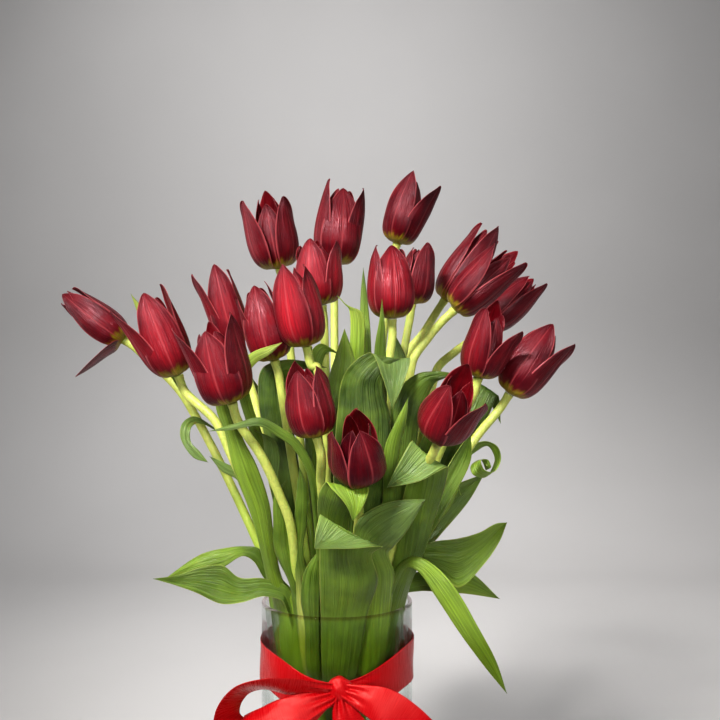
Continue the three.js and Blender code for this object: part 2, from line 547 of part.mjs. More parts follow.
function petalSolid(flower, petal, nest, grow = 0) {
  const [turn, reach, spread] = petal;
  const { axis, front, right } = bloomFrame(flower);
  const base = seen(flower.base);
  const length = base.distanceTo(seen(flower.tip)) * reach;
  const angle = THREE.MathUtils.degToRad(turn);
  const out = front.multiplyScalar(Math.cos(angle)).addScaledVector(right, Math.sin(angle));
  const side = axis.clone().cross(out);
  const girth = flower.girth * nest;
  const halfWidth = PETAL.halfWidth * (flower.girth / PETAL.usualGirth) * nest;
  const curve = girth * PETAL.roundness;
  const half = PETAL.thick / 2 + grow;
  const rings = [];
  for (const v of PETAL.rings) {
    const radius = petalRadius(girth, spread, v);
    const bend = (halfWidth * petalWidth(v) + grow) / curve;
    const place = (share, proud) => base.clone()
      .addScaledVector(axis, length * v + PETAL.sunk)
      .addScaledVector(out, radius - curve + (curve + proud) * Math.cos(share * bend))
      .addScaledVector(side, (curve + proud) * Math.sin(share * bend));
    rings.push([place(-1, 0), place(0, half), place(1, 0), place(0, -half)]);
  }
  const tipOut = petalRadius(girth, spread, 1);
  rings.push([base.clone().addScaledVector(axis, length + grow).addScaledVector(out, tipOut)]);
  return solidOf(skin(rings));
}

function receptacleSolid(flower, grow = 0) {
  const { radius, height, sides } = RECEPTACLE;
  const outline = [
    new THREE.Vector2(0, 0), new THREE.Vector2(radius * 0.75 + grow, 0),
    new THREE.Vector2(radius + grow, height / 2), new THREE.Vector2(0, height),
  ];
  const turn = new THREE.Quaternion().setFromUnitVectors(NORTH, bloomAxis(flower));
  return solidOf(new THREE.LatheGeometry(outline, sides)
    .applyQuaternion(turn)
    .translate(...seen(flower.base).toArray()));
}

function bloomSolid(flower, grow = 0) {
  return flower.petals.reduce(
    (body, petal, k) => body.add(petalSolid(flower, petal, PETAL.nest[k], grow)),
    receptacleSolid(flower, grow),
  );
}

// ---- ribbon and bow -----------------------------------------------------------------------

// The band lies a little higher on the right and at the back, and dips at the front to its knot.
function bandHeight(turn) {
  const front = Math.max(0, -Math.sin(turn));
  const back = Math.max(0, Math.sin(turn));
  const { centre, tilt, backRise, dip } = RIBBON;
  return centre + tilt * Math.cos(turn) + backRise * back - dip * front ** 4;
}

function bandGeometry() {
  const inner = VASE.radius + RIBBON.off;
  const outer = inner + RIBBON.thick;
  const points = [];
  const triangles = [];
  for (let k = 0; k < RIBBON.steps; k += 1) {
    const turn = (k / RIBBON.steps) * Math.PI * 2;
    const z = bandHeight(turn);
    for (const [radius, edge] of [[inner, -0.5], [outer, -0.5], [outer, 0.5], [inner, 0.5]]) {
      const height = z + edge * RIBBON.width;
      points.push(new THREE.Vector3(radius * Math.cos(turn), radius * Math.sin(turn), height));
    }
    const here = k * 4;
    const next = ((k + 1) % RIBBON.steps) * 4;
    for (let e = 0; e < 4; e += 1) {
      const f = (e + 1) % 4;
      triangles.push([here + e, next + e, next + f], [here + e, next + f, here + f]);
    }
  }
  return geometryOf(points, triangles);
}

function knotGeometry(grow = 0) {
  const size = [KNOT.across, KNOT.deep, KNOT.up].map((length) => length / 2 + grow);
  return new THREE.SphereGeometry(1, KNOT.sides, KNOT.rows).scale(...size).translate(...KNOT.centre);
}

// Each place along a loop or tail is [across, up, depth, lean, share]: lean turns the ribbon's
// width from lying along the line of sight to standing upright, and share is how much of the
// width is left where the ribbon is gathered.
const BOW = {
  bow_loop_left: [
    [-1, 127, -69, 52, 0.3], [-20, 127, -72, 43, 0.59], [-38, 128, -75, 43, 0.85], [-58, 130, -77, 38, 0.85],
    [-75, 126, -78, 36, 0.85], [-85, 115, -77, 34, 0.85], [-87, 102, -75, 34, 0.85], [-79, 94, -77, 35, 0.85],
    [-62, 98, -80, 50, 0.85], [-45, 105, -81, 60, 0.85], [-28, 113, -78, 65, 0.68], [-2, 123, -70, 60, 0.3],
  ],
  bow_loop_right: [
    [3, 127, -70, 70, 0.3], [22, 120, -76, 80, 0.64], [38, 113, -80, 85, 0.85], [54, 103, -81, 85, 0.85],
    [66, 92, -80, 80, 0.85], [72, 84, -75, 60, 0.85], [68, 84, -68, 45, 0.85], [55, 92, -66, 50, 0.85],
    [40, 103, -66, 55, 0.85], [24, 113, -66, 60, 0.59], [4, 123, -66, 60, 0.3],
  ],
  bow_tail_left: [
    [-1, 123, -66, 60, 0.3], [-18, 114, -66, 78, 0.59], [-32, 102, -66, 82, 0.85], [-42, 84, -65, 82, 0.85],
    [-47, 62, -64, 82, 0.85], [-50, 42, -64, 82, 0.85],
  ],
  bow_tail_right: [
    [3, 122, -70, 80, 0.3], [6, 108, -73, 85, 0.59], [12, 92, -73, 85, 0.85], [20, 72, -70, 85, 0.85],
    [27, 52, -67, 85, 0.85], [31, 34, -66, 85, 0.85],
  ],
};

function bowStrip(run, grow = 0) {
  const places = run.map((place) => seen(place));
  const last = places.length - 1;
  const rings = [];
  for (let t = 0; t <= last; t += 0.5) {
    const from = run[Math.floor(t)];
    const to = run[Math.ceil(t)];
    const lean = THREE.MathUtils.lerp(from[3], to[3], t % 1);
    const share = THREE.MathUtils.lerp(from[4], to[4], t % 1);
    const middle = along(places, t);
    const ahead = directionAt(places, t);
    const depth = NORTH.clone().addScaledVector(ahead, -NORTH.dot(ahead)).normalize();
    const level = ahead.clone().cross(depth);
    const angle = THREE.MathUtils.degToRad(lean);
    const wide = depth.multiplyScalar(Math.cos(angle)).addScaledVector(level, Math.sin(angle));
    const flat = ahead.clone().cross(wide);
    const corner = (edge, face) => middle.clone()
      .addScaledVector(wide, edge * ((share * RIBBON.width) / 2 + grow))
      .addScaledVector(flat, face * (RIBBON.thick / 2 + grow));
    rings.push([corner(-1, -1), corner(1, -1), corner(1, 1), corner(-1, 1)]);
  }
  return solidOf(skin(rings));
}

// ---- putting it together ------------------------------------------------------------------

// A piece with the room that others leave round it.
function withRoom(make) {
  const solid = make(0);
  return { solid, room: make(GAP).add(solid) };
}

function boxesMeet(a, b) {
  const p = a.boundingBox();
  const q = b.boundingBox();
  return [0, 1, 2].every((k) => p.min[k] < q.max[k] && q.min[k] < p.max[k]);
}

function meets(a, b) {
  return boxesMeet(a, b) && a.intersect(b).volume() > 0;
}

// The solid with room cut for each of the others that it would cross.
function clearOf(solid, others) {
  const crossed = others.filter((other) => meets(solid, other.solid));
  return crossed.reduce((body, other) => body.subtract(other.room), solid);
}

function largest(solid) {
  return solid.decompose().reduce((best, part) => (part.volume() > best.volume() ? part : best));
}

const tulips = new THREE.Group();

function addPiece(name, geometry, look) {
  geometry.computeVertexNormals();
  const mesh = new THREE.Mesh(geometry, new THREE.MeshStandardMaterial(look));
  mesh.name = name;
  tulips.add(mesh);
}

const paths = stemPaths();
const glass = withRoom((grow) => solidOf(vaseGeometry(grow)));
const stems = paths.map((path) => withRoom((grow) => stemSolid(path, grow)));
const blooms = FLOWERS.map((flower) => withRoom((grow) => bloomSolid(flower, grow)));
const leaves = LEAVES.map((leaf) => withRoom((grow) => leafSolid(leaf, paths[leaf.on - 1], grow)));

function clearBloom(i) {
  return largest(clearOf(blooms[i].solid, [...stems, ...blooms.slice(0, i)]));
}

function leafyStem(i) {
  const otherStems = stems.filter((_, j) => j !== i);
  let plant = stems[i].solid;
  LEAVES.forEach((leaf, k) => {
    if (leaf.on - 1 === i) {
      const earlier = leaves.filter((_, j) => j < k && LEAVES[j].on !== leaf.on);
      plant = plant.add(clearOf(leaves[k].solid, [glass, ...otherStems, ...blooms, ...earlier]));
    }
  });
  return largest(plant);
}

addPiece('vase', vaseGeometry(), LOOKS.glass);
addPiece('water', waterGeometry(paths.map((path) => path[0])), LOOKS.water);
addPiece('ribbon_band', bandGeometry(), LOOKS.ribbon);
addPiece('bow_knot', knotGeometry(), LOOKS.ribbon);
const bow = [withRoom((grow) => solidOf(knotGeometry(grow)))];
for (const [name, run] of Object.entries(BOW)) {
  const strip = withRoom((grow) => bowStrip(run, grow));
  addPiece(name, geometryFrom(largest(clearOf(strip.solid, bow))), LOOKS.ribbon);
  bow.push(strip);
}
FLOWERS.forEach((_, i) => {
  const number = String(i + 1).padStart(2, '0');
  addPiece(`bloom_${number}`, geometryFrom(clearBloom(i)), LOOKS.petal);
  addPiece(`leafy_stem_${number}`, geometryFrom(leafyStem(i)), LOOKS.leaf);
});

export default tulips;
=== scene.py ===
"""Looks of a bunch of dark red tulips in a clear glass vase with a satin bow.

The file is laid out as a Blender add-on and run as a script. Places and sizes are in millimetres
where they are written down, and in metres in the meshes.
"""
import random
from collections import namedtuple
from math import atan2, cos, hypot, pi, radians, sin

import bmesh
import bpy
import numpy as np
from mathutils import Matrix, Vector


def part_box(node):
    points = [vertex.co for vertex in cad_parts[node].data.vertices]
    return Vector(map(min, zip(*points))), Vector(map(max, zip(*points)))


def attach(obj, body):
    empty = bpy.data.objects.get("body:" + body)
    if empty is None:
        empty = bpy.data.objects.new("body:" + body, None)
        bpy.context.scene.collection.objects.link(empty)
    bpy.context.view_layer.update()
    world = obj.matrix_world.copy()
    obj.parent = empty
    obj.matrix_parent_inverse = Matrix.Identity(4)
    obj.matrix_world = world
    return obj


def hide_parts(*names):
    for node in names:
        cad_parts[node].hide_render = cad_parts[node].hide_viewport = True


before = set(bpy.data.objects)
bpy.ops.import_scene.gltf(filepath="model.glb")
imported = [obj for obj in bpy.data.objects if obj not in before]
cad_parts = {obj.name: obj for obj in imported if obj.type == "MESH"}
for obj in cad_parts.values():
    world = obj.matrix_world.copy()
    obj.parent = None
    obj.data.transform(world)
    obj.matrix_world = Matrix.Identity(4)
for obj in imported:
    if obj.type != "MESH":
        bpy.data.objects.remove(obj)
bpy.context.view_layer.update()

bl_info = {
    "name": "Tulips in a Glass Vase",
    "version": (1, 0, 0),
    "blender": (4, 5, 0),
    "location": "View3D > Sidebar > Tulips",
    "description": "Blooms, leafy stems, glass, water and satin bow of a vase of tulips",
    "category": "Object",
}

MM = 0.001
BODY = "root"

# ---- where everything grows -----------------------------------------------------------------

# Places are written as (across, up, depth): what they cover on the upright plane through the
# vase's axis, seen from EYE, and how far behind that plane they lie.
EYE = np.array((18.4, -800.0, 391.0))

# base and tip are the ends of a bloom's axis, girth its largest radius, the fourth value how much
# painted light lightens its red where the light falls on it, and via the places its stem passes, from
# the bloom down. A petal is (turn, reach, spread): degrees round the axis from the front, its share
# of the bloom's length, and how far its tip stands out.
Flower = namedtuple("Flower", "base tip girth glow via petals")

# A leaf grows from stem `on` at height `root`, and its middle stands proud by `bow`. front names
# its tones from root to tip, and back the tone of its other face; darker tones also paint the shade on
# leaves that lie in it, and brighter ones the light on lit leaves. Its edges are pairs of places:
# (across, up, across, up, depth, what the second lies deeper).
Leaf = namedtuple("Leaf", "on root bow front back tip edges")

FLOWERS = (
    Flower((-170, 407, 30), (-218, 443, 34), 16.5, 0.15, ((-120, 358, 20),), (
        (0, 1, 3), (105, 0.97, 9), (-58, 0.1, 52), (-60, 0.94, 8), (50, 0.97, 6), (180, 0.97, 6))),
    Flower((-127, 379, -40), (-154, 444, -46), 20, 0.6, ((-98, 343, -48), (-85, 316, -50), (-62, 262, -42)), (
        (5, 1, 4), (-62, 0.94, 29), (110, 1.03, 14), (-42, 0.88, 9), (62, 0.9, 8), (-178, 0.98, 7))),
    Flower((-84, 357, -88), (-104, 420, -96), 21, 0.35, ((-61, 315, -80), (-49, 290, -72), (-37, 258, -62)), (
        (-10, 0.92, 8), (62, 1.05, 21), (-64, 1.07, 25), (47, 0.88, 6), (-62, 0.9, 8), (176, 1, 9))),
    Flower((-80, 403, 20), (-98, 467, 16), 17, 0.5, ((-67, 363, 5), (-62, 340, -8)), (
        (0, 1, 3), (-68, 0.95, 20), (95, 0.9, 9), (58, 0.68, 10), (-50, 0.86, 6), (180, 0.95, 5))),
    Flower((-50, 391, -34), (-66, 450, -40), 19.5, 0.4, (), (
        (-5, 1, 2), (95, 1.02, 8), (-76, 0.9, 15), (-50, 0.93, 6), (52, 0.95, 4), (180, 0.95, 4))),
    Flower((-46, 464, 62), (-58, 523, 60), 21, 0.3, (), (
        (-60, 0.95, 21), (55, 0.9, 19), (175, 1.06, 5), (0, 0.86, 5), (-120, 0.95, 7), (115, 0.93, 7))),
    Flower((-1, 467, 84), (5, 530, 82), 22.5, 0.2, (), (
        (10, 0.96, 4), (-68, 1.06, 13), (64, 0.97, 20), (-48, 0.95, 5), (58, 0.93, 6), (178, 0.97, 5))),
    Flower((-12, 435, 6), (-18, 489, 4), 19.5, 1, (), (
        (-20, 0.97, 9), (64, 0.9, 19), (-118, 0.9, 14), (38, 0.85, 5), (-78, 0.92, 7), (165, 0.95, 6))),
    Flower((-24, 402, -52), (-38, 468, -58), 19, 0.95, ((-16, 385, -50), (-10, 345, -46)), (
        (-25, 1, 11), (62, 0.95, 11), (-142, 0.92, 14), (32, 0.9, 4), (-85, 0.92, 8), (152, 0.94, 5))),
    Flower((-16, 330, -100), (-28, 387, -106), 18, 0.3, ((-13, 291, -76),), (
        (-24, 0.94, 8), (58, 0.95, 11), (-145, 1.05, 8), (30, 0.85, 4), (-82, 0.88, 5), (155, 0.92, 4))),
    Flower((17, 296, -92), (14, 339, -114), 20.5, 0.0, ((17, 258, -60),), (
        (30, 0.95, 6), (-64, 1, 17), (165, 1.13, 10), (-26, 0.95, 5), (88, 1, 9), (-150, 1.08, 7))),
    Flower((44, 424, -10), (43, 482, -12), 20.5, 0.7, ((40, 380, -11), (38, 330, -12)), (
        (6, 1, 2), (-70, 1, 12), (104, 0.95, 8), (-54, 0.93, 4), (64, 0.93, 4), (-175, 0.95, 4))),
    Flower((60, 436, 48), (67, 483, 48), 16.5, 0.1, (), (
        (34, 1.03, 9), (-74, 0.92, 6), (160, 0.95, 6), (92, 0.92, 7), (-16, 0.9, 4), (-140, 0.92, 5))),
    Flower((48, 484, 92), (64, 538, 92), 18, 0.15, (), (
        (-30, 1.03, 8), (50, 0.9, 28), (-150, 0.95, 8), (18, 0.9, 5), (-90, 0.93, 5), (150, 0.86, 7))),
    Flower((86, 439, 78), (124, 497, 80), 17.5, 0.2, ((70, 414, 72), (55, 392, 64)), (
        (-72, 0.96, 10), (30, 1.03, 7), (148, 0.92, 12), (-26, 0.92, 5), (88, 0.9, 10), (-150, 0.95, 6))),
    Flower((94, 431, 6), (140, 474, 2), 17, 0.2, ((74, 410, 5), (60, 388, 2)), (
        (-52, 0.92, 21), (50, 1.05, 15), (180, 1.1, 5), (0, 0.95, 4), (-120, 1, 7), (120, 0.97, 6))),
    Flower((121, 419, 52), (158, 456, 54), 16, 0.1, ((95, 398, 46), (79, 381, 38)), (
        (50, 1.04, 13), (-55, 0.95, 6), (180, 1, 5), (3, 0.92, 4), (-118, 0.92, 5), (120, 0.95, 5))),
    Flower((113, 377, -42), (128, 430, -48), 17.5, 0.3, ((84, 322, -22),), (
        (-45, 1, 13), (50, 0.82, 26), (-172, 1.15, 6), (8, 0.9, 4), (-112, 0.95, 5), (130, 0.95, 6))),
    Flower((138, 364, -28), (172, 416, -32), 19, 0.15, ((112, 330, -32), (91, 298, -35), (68, 251, -37)), (
        (-20, 1.04, 6), (54, 0.97, 23), (-142, 0.95, 9), (40, 0.93, 7), (-81, 0.95, 5), (158, 0.95, 6))),
    Flower((82, 329, -98), (101, 375, -124), 20, 0.3, ((64, 292, -62), (50, 256, -52)), (
        (-42, 0.95, 12), (47, 0.95, 24), (178, 1.1, 13), (14, 0.9, 6), (-112, 0.95, 8), (128, 0.95, 8))),
)

LEAVES = (
    Leaf(2, 112, -5, "mmm", "b", (-147, 216, -46), (
        (-42, 196, -38, 207, -40, 6), (-58, 202, -58, 216, -44, 6), (-76, 197, -78, 217, -46, 8),
        (-93, 196, -92, 227, -48, 8), (-113, 205, -110, 225, -48, 6), (-130, 211, -127, 219, -47, 3))),
    Leaf(2, 122, 3, "mmb", "p", (-139, 215, -34), (
        (-42, 202, -34, 203, -30, 4), (-58, 216, -50, 222, -32, 4), (-67, 230, -62, 240, -36, 5),
        (-76, 234, -72, 242, -38, 6), (-92, 225, -86, 241, -38, 6), (-112, 220, -110, 235, -37, 4))),
    Leaf(2, 104, 5, "mbbb", "b", (-93, 374, -62), (
        (-40, 128, -20, 128, -16, -12), (-48, 160, -21, 160, -18, -14), (-51, 195, -25, 193, -20, -12),
        (-57, 219, -42, 212, -37, 4), (-64, 250, -50, 246, -50, 4), (-71, 273, -54, 276, -56, 4),
        (-83, 304, -64, 306, -60, 3), (-90, 334, -76, 330, -62, 2), (-97, 354, -83, 354, -62, 2))),
    Leaf(2, 180, 3, "bby", "b", (-165, 444, -14), (
        (-94, 337, -86, 333, -26, 3), (-118, 357, -110, 352, -20, 3), (-131, 375, -121, 370, -16, 3),
        (-148, 402, -138, 399, -14, 2), (-160, 430, -152, 428, -14, 1))),
    Leaf(3, 116, 5, "mmm", "p", (-40, 296, -62), (
        (-34, 186, -18, 184, -38, 0), (-38, 212, -30, 204, -44, 0), (-50, 238, -36, 236, -50, 0),
        (-51, 262, -40, 262, -56, 0), (-50, 282, -42, 284, -60, 0))),
    Leaf(3, 120, 4, "yyydmmm", "p", (-30, 305, -68), (
        (-27, 146, -16, 146, -38, 0), (-32, 190, -16, 186, -43, 0), (-33, 214, -22, 214, -49, 0),
        (-34, 240, -27, 238, -55, 0), (-34, 264, -24, 262, -61, 0), (-32, 290, -24, 290, -66, 0))),
    Leaf(10, 108, 3, "mm", "p", (-14, 240, -60), (
        (-24, 140, -13, 140, -42, 0), (-26, 180, -14, 180, -48, 0), (-29, 200, -14, 200, -54, 0),
        (-26, 222, -14, 222, -58, 0))),
    Leaf(10, 130, 3, "mmp", "p", (-102, 334, -98), (
        (-17, 240, -12, 240, -62, 0), (-20, 275, -14, 277, -74, 2), (-24, 300, -18, 304, -82, 2),
        (-35, 320, -30, 326, -88, 2), (-48, 330, -45, 337, -92, 2), (-63, 338, -62, 345, -96, 2),
        (-84, 335, -82, 340, -98, 1))),
    Leaf(10, 100, 5, "mmm", "p", (-18, 240, -90), (
        (-12, 140, 16, 140, -42, 0), (-13, 185, 25, 190, -50, 0), (-14, 214, 33, 214, -63, 0),
        (-14, 240, 28, 236, -73, 0), (-13, 268, 36, 241, -80, 0), (-17, 254, 12, 240, -87, 0))),
    Leaf(11, 102, 4, "mbpp", "p", (71, 280, -88), (
        (15, 140, 36, 140, -38, 6), (16, 180, 42, 182, -44, 8), (18, 222, 46, 220, -56, 4),
        (14, 256, 41, 236, -67, 0), (22, 268, 45, 241, -74, 0), (44, 278, 56, 254, -82, 0))),
    Leaf(11, 150, 3, "mmm", "b", (13, 262, -109), (
        (-8, 240, 10, 240, -64, 0), (-15, 264, 10, 264, -76, 0), (-15, 282, 20, 280, -92, 0),
        (-9, 294, 25, 290, -100, 0), (-4, 288, 25, 284, -108, 0), (7, 275, 20, 272, -111, 0))),
    Leaf(20, 104, 5, "mmmp", "p", (40, 289, -93), (
        (26, 136, 44, 138, -28, 10), (32, 168, 50, 170, -27, 11), (35, 196, 55, 199, -36, 12),
        (46, 234, 70, 238, -52, 4), (52, 276, 83, 279, -66, 0), (57, 300, 88, 297, -76, 0),
        (60, 326, 88, 305, -85, 0), (48, 306, 66, 294, -91, 0))),
    Leaf(12, 124, 7, "ddd", "p", (44, 352, -66), (
        (-2, 250, 30, 250, -44, 0), (-3, 300, 40, 295, -50, 0), (0, 346, 43, 342, -52, 0),
        (6, 380, 38, 374, -53, 0), (26, 397, 58, 392, -58, 0), (36, 378, 54, 374, -64, 0))),
    Leaf(12, 136, 3, "mmb", "p", (57, 361, -70), (
        (34, 250, 46, 250, -52, 0), (37, 290, 47, 298, -62, 0), (38, 320, 52, 326, -68, 0),
        (46, 340, 56, 346, -70, 0))),
    Leaf(20, 134, 4, "ddm", "p", (95, 380, -56), (
        (42, 270, 60, 270, -40, 0), (42, 312, 62, 308, -44, 0), (44, 346, 66, 340, -46, 0),
        (50, 368, 72, 360, -46, 0), (64, 380, 78, 372, -50, 0), (80, 382, 85, 376, -54, 0))),
    Leaf(19, 150, -6, "mmb", "b", (136, 261, -24), (
        (55, 226, 59, 220, -28, -4), (64, 241, 70, 226, -28, -8), (78, 246, 84, 219, -28, -10),
        (96, 248, 98, 209, -28, -10), (114, 253, 118, 228, -26, -6), (127, 260, 130, 246, -25, -2))),
    Leaf(19, 144, 4, "mmb", "p", (130, 200, 4), (
        (52, 214, 50, 201, -8, -6), (66, 222, 66, 206, -2, -6), (86, 226, 84, 205, 0, -6),
        (106, 222, 103, 204, 2, -4))),
    Leaf(20, 158, 3, "mbb", "b", (136, 124, -64), (
        (46, 222, 50, 216, -50, 2), (60, 234, 56, 225, -59, 2), (76, 228, 66, 221, -66, 2),
        (93, 211, 80, 200, -69, 2), (112, 179, 98, 173, -69, 2), (127, 151, 117, 147, -66, 1))),
    Leaf(19, 168, -4, "mmd", "m", (107, 333, -46), (
        (50, 234, 62, 231, -44, 4), (66, 264, 78, 256, -46, 2), (82, 294, 95, 285, -46, 2),
        (96, 318, 107, 311, -45, 2))),
    Leaf(17, 118, 4, "ddd", "m", (131, 340, 6), (
        (40, 150, 52, 150, 2, 4), (44, 194, 54, 194, 4, 4), (58, 256, 74, 250, 8, 0),
        (76, 296, 94, 290, 4, 0), (88, 328, 108, 320, 2, 0), (100, 356, 121, 346, 2, 0),
        (112, 373, 129, 362, 4, 0))),
    Leaf(1, 176, 1.5, "mpp", "p", (-103, 309, -30), (
        (-88, 326, -84, 324, 4, 0), (-104, 341, -101, 337, -6, 0), (-115, 346, -112, 340, -14, 0),
        (-124, 340, -117, 336, -22, 0), (-125, 328, -117, 326, -26, 0), (-115, 313, -110, 318, -30, 0))),
    Leaf(19, 236, 1.5, "mbb", "b", (119, 307, -14), (
        (101, 318, 105, 312, -22, 6), (112, 325, 113, 319, -16, 8), (121, 326, 120, 322, -12, 8),
        (129, 321, 124, 318, -10, 7), (131, 311, 126, 310, -11, 5), (126, 302, 119, 297, -13, 5),
        (118, 303, 109, 299, -18, 5), (115, 311, 107, 306, -14, 5), (121, 311, 115, 311, -9, 5),
        (123, 305, 119, 303, -12, 4))),
    Leaf(17, 170, 2, "mb", "b", (99, 283, 6), (
        (72, 262, 78, 256, 8, 0), (84, 276, 90, 272, 8, 0), (90, 290, 96, 284, 8, 0),
        (96, 291, 98, 287, 7, 0))),
    Leaf(5, 150, 2, "mpp", "p", (-66, 335, -54), (
        (-48, 262, -40, 262, -40, 0), (-54, 294, -47, 294, -46, 0), (-58, 316, -46, 314, -48, 0),
        (-60, 330, -50, 327, -50, 0))),
    Leaf(1, 118, 3, "mpp", "p", (-102, 314, -10), (
        (-46, 150, -34, 150, -4, 0), (-54, 196, -44, 196, -6, 0), (-60, 246, -50, 246, -8, 0),
        (-70, 276, -60, 276, -8, 0), (-80, 295, -73, 300, -8, 0), (-92, 302, -88, 308, -9, 0))),
    Leaf(5, 132, 6, "ddm", "p", (-8, 385, -28), (
        (-48, 290, -28, 290, -18, 0), (-58, 330, -34, 330, -16, 0), (-63, 362, -38, 360, -16, 0),
        (-60, 384, -36, 374, -18, 0), (-42, 391, -28, 383, -23, 0), (-26, 390, -20, 384, -26, 0))),
    Leaf(9, 150, 4, "mby", "b", (-44, 405, -78), (
        (-56, 300, -48, 300, -30, 0), (-72, 340, -62, 338, -40, 0), (-80, 368, -70, 364, -58, 0),
        (-80, 386, -72, 378, -68, 0), (-68, 397, -64, 389, -74, 0), (-55, 402, -53, 396, -77, 0))),
    Leaf(9, 140, 5, "mmb", "b", (6, 416, -24), (
        (-14, 290, 6, 290, -28, 0), (-14, 340, 10, 340, -26, 0), (-8, 372, 16, 372, -25, 0),
        (-2, 392, 14, 392, -25, 0))),
    Leaf(7, 130, 4, "mby", "b", (-3, 445, -2), (
        (2, 300, 14, 300, 6, 0), (6, 350, 20, 350, 4, 0), (10, 400, 22, 400, 2, 0),
        (10, 430, 21, 428, 0, 0), (4, 439, 8, 435, -2, 0))),
    Leaf(13, 136, 3, "mbp", "b", (21, 465, 20), (
        (12, 300, 24, 300, 20, 0), (16, 360, 28, 360, 18, 0), (18, 410, 27, 410, 18, 0),
        (19, 445, 24, 443, 20, 0))),
    Leaf(12, 148, 2, "mmb", "b", (36, 440, -36), (
        (28, 300, 38, 300, -30, 0), (29, 360, 40, 360, -34, 0), (30, 400, 39, 400, -36, 0),
        (34, 424, 38, 422, -37, 0))),
    Leaf(13, 150, 5, "mdm", "m", (44, 416, 30), (
        (30, 300, 50, 300, 26, 0), (34, 350, 58, 350, 28, 0), (38, 390, 56, 390, 30, 0))),
    Leaf(8, 140, 4, "mmb", "b", (2, 396, -4), (
        (-24, 300, -8, 300, 2, 0), (-26, 350, -10, 350, 0, 0), (-24, 390, -12, 384, -2, 0),
        (-14, 404, -8, 397, -3, 0))),
    Leaf(4, 130, 5, "mmm", "p", (-70, 380, 24), (
        (-44, 260, -28, 260, 18, 0), (-56, 310, -38, 310, 20, 0), (-68, 352, -52, 352, 22, 0))),
    Leaf(6, 126, -6, "mmm", "p", (-74, 350, 90), (
        (-34, 230, -10, 232, 44, 0), (-48, 276, -20, 280, 60, 0), (-64, 320, -40, 324, 78, 0))),
    Leaf(14, 126, -6, "mmm", "p", (52, 388, 92), (
        (8, 240, 34, 240, 50, 0), (16, 300, 46, 300, 68, 0), (30, 354, 56, 354, 84, 0))),
    Leaf(15, 120, -5, "mmm", "p", (96, 340, 86), (
        (34, 234, 54, 228, 44, 0), (52, 280, 76, 272, 62, 0), (76, 320, 92, 310, 78, 0))),
    Leaf(7, 120, -5, "mmm", "p", (-10, 372, 96), (
        (-20, 236, 4, 236, 52, 0), (-26, 290, 2, 290, 72, 0), (-20, 340, 0, 340, 88, 0))),
    Leaf(17, 126, -4, "mmm", "p", (118, 300, 44), (
        (44, 226, 56, 216, 30, 0), (66, 262, 80, 248, 38, 0), (94, 290, 104, 276, 42, 0))),
    Leaf(16, 128, 4, "mmm", "p", (84, 352, 14), (
        (40, 236, 56, 232, 14, 0), (52, 280, 70, 276, 16, 0), (66, 324, 82, 318, 15, 0))),
)

# Along a loop or tail: (across, up, depth, lean, share). lean turns the ribbon's width from
# the line of sight to upright, and share is what is left of it where the ribbon is gathered.
BOW = {
    "bow_loop_left": (
        (-1, 127, -69, 52, 0.3), (-20, 127, -72, 43, 0.59), (-38, 128, -75, 43, 0.85),
        (-58, 130, -77, 38, 0.85), (-75, 126, -78, 36, 0.85), (-85, 115, -77, 34, 0.85),
        (-87, 102, -75, 34, 0.85), (-79, 94, -77, 35, 0.85), (-62, 98, -80, 50, 0.85),
        (-45, 105, -81, 60, 0.85), (-28, 113, -78, 65, 0.68), (-2, 123, -70, 60, 0.3)),
    "bow_loop_right": (
        (3, 127, -70, 70, 0.3), (22, 120, -76, 80, 0.64), (38, 113, -80, 85, 0.85),
        (54, 103, -81, 85, 0.85), (66, 92, -80, 80, 0.85), (72, 84, -75, 60, 0.85),
        (68, 84, -68, 45, 0.85), (55, 92, -66, 50, 0.85), (40, 103, -66, 55, 0.85),
        (24, 113, -66, 60, 0.59), (4, 123, -66, 60, 0.3)),
    "bow_tail_left": (
        (-1, 123, -66, 60, 0.3), (-18, 114, -66, 78, 0.59), (-32, 102, -66, 82, 0.85),
        (-42, 84, -65, 82, 0.85), (-47, 62, -64, 82, 0.85), (-50, 42, -64, 82, 0.85)),
    "bow_tail_right": (
        (3, 122, -70, 80, 0.3), (6, 108, -73, 85, 0.59), (12, 92, -73, 85, 0.85), (20, 72, -70, 85, 0.85),
        (27, 52, -67, 85, 0.85), (31, 34, -66, 85, 0.85)),
}

FLOOR = 12  # top of the glass base
GAP = 0.3  # between two pieces

STEM_FOOT, STEM_NECK = 3.9, 3.3  # a stem's radius at its two ends
STRAIGHT_TO, WAIST = 86, 118  # the stems stand straight to one height, and spread from the other
SPREAD = ((118, 9.4, 29, 0), (160, 9.4, 38, 0.5), (200, 9.2, 46, 0.75))  # height, apart, within, ease
SPREAD_ROUNDS = 400
WAIST_SHARE = 0.14  # how far out a stem stands at the waist, of its bloom's own distance
NECK_RUN = 14  # the straight run below a bloom

PETAL_HALF_WIDTH, USUAL_GIRTH = 15.8, 18  # a petal's half width on a bloom of that girth
PETAL_SUNK, PETAL_INSET = 0.6, 2.4  # how far it starts up the axis, and lies inside the girth
PETAL_SEAT, PETAL_ROUNDNESS = 0.22, 1.05  # its radius at the foot and across, of the girth
# NEST also darkens each inner petal's colour, as painted shade where it lies under the others.
NEST = (1, 0.93, 0.86, 0.74, 0.66, 0.58)  # each petal's size, of the outermost one's

LEAF_ROOT, FULL_BOW_WIDTH = 7, 20  # its width at the stem, and the least width that bows in full


def srgb(*shown):
    """A colour given in display values from 0 to 255, as Blender's linear one."""
    return tuple(((c / 255 + 0.055) / 1.055) ** 2.4 if c > 10 else c / 255 / 12.92 for c in shown)


def smooth(value):
    """An even rise from 0 to 1, level at both ends."""
    value = np.clip(value, 0, 1)
    return value * value * (3 - 2 * value)


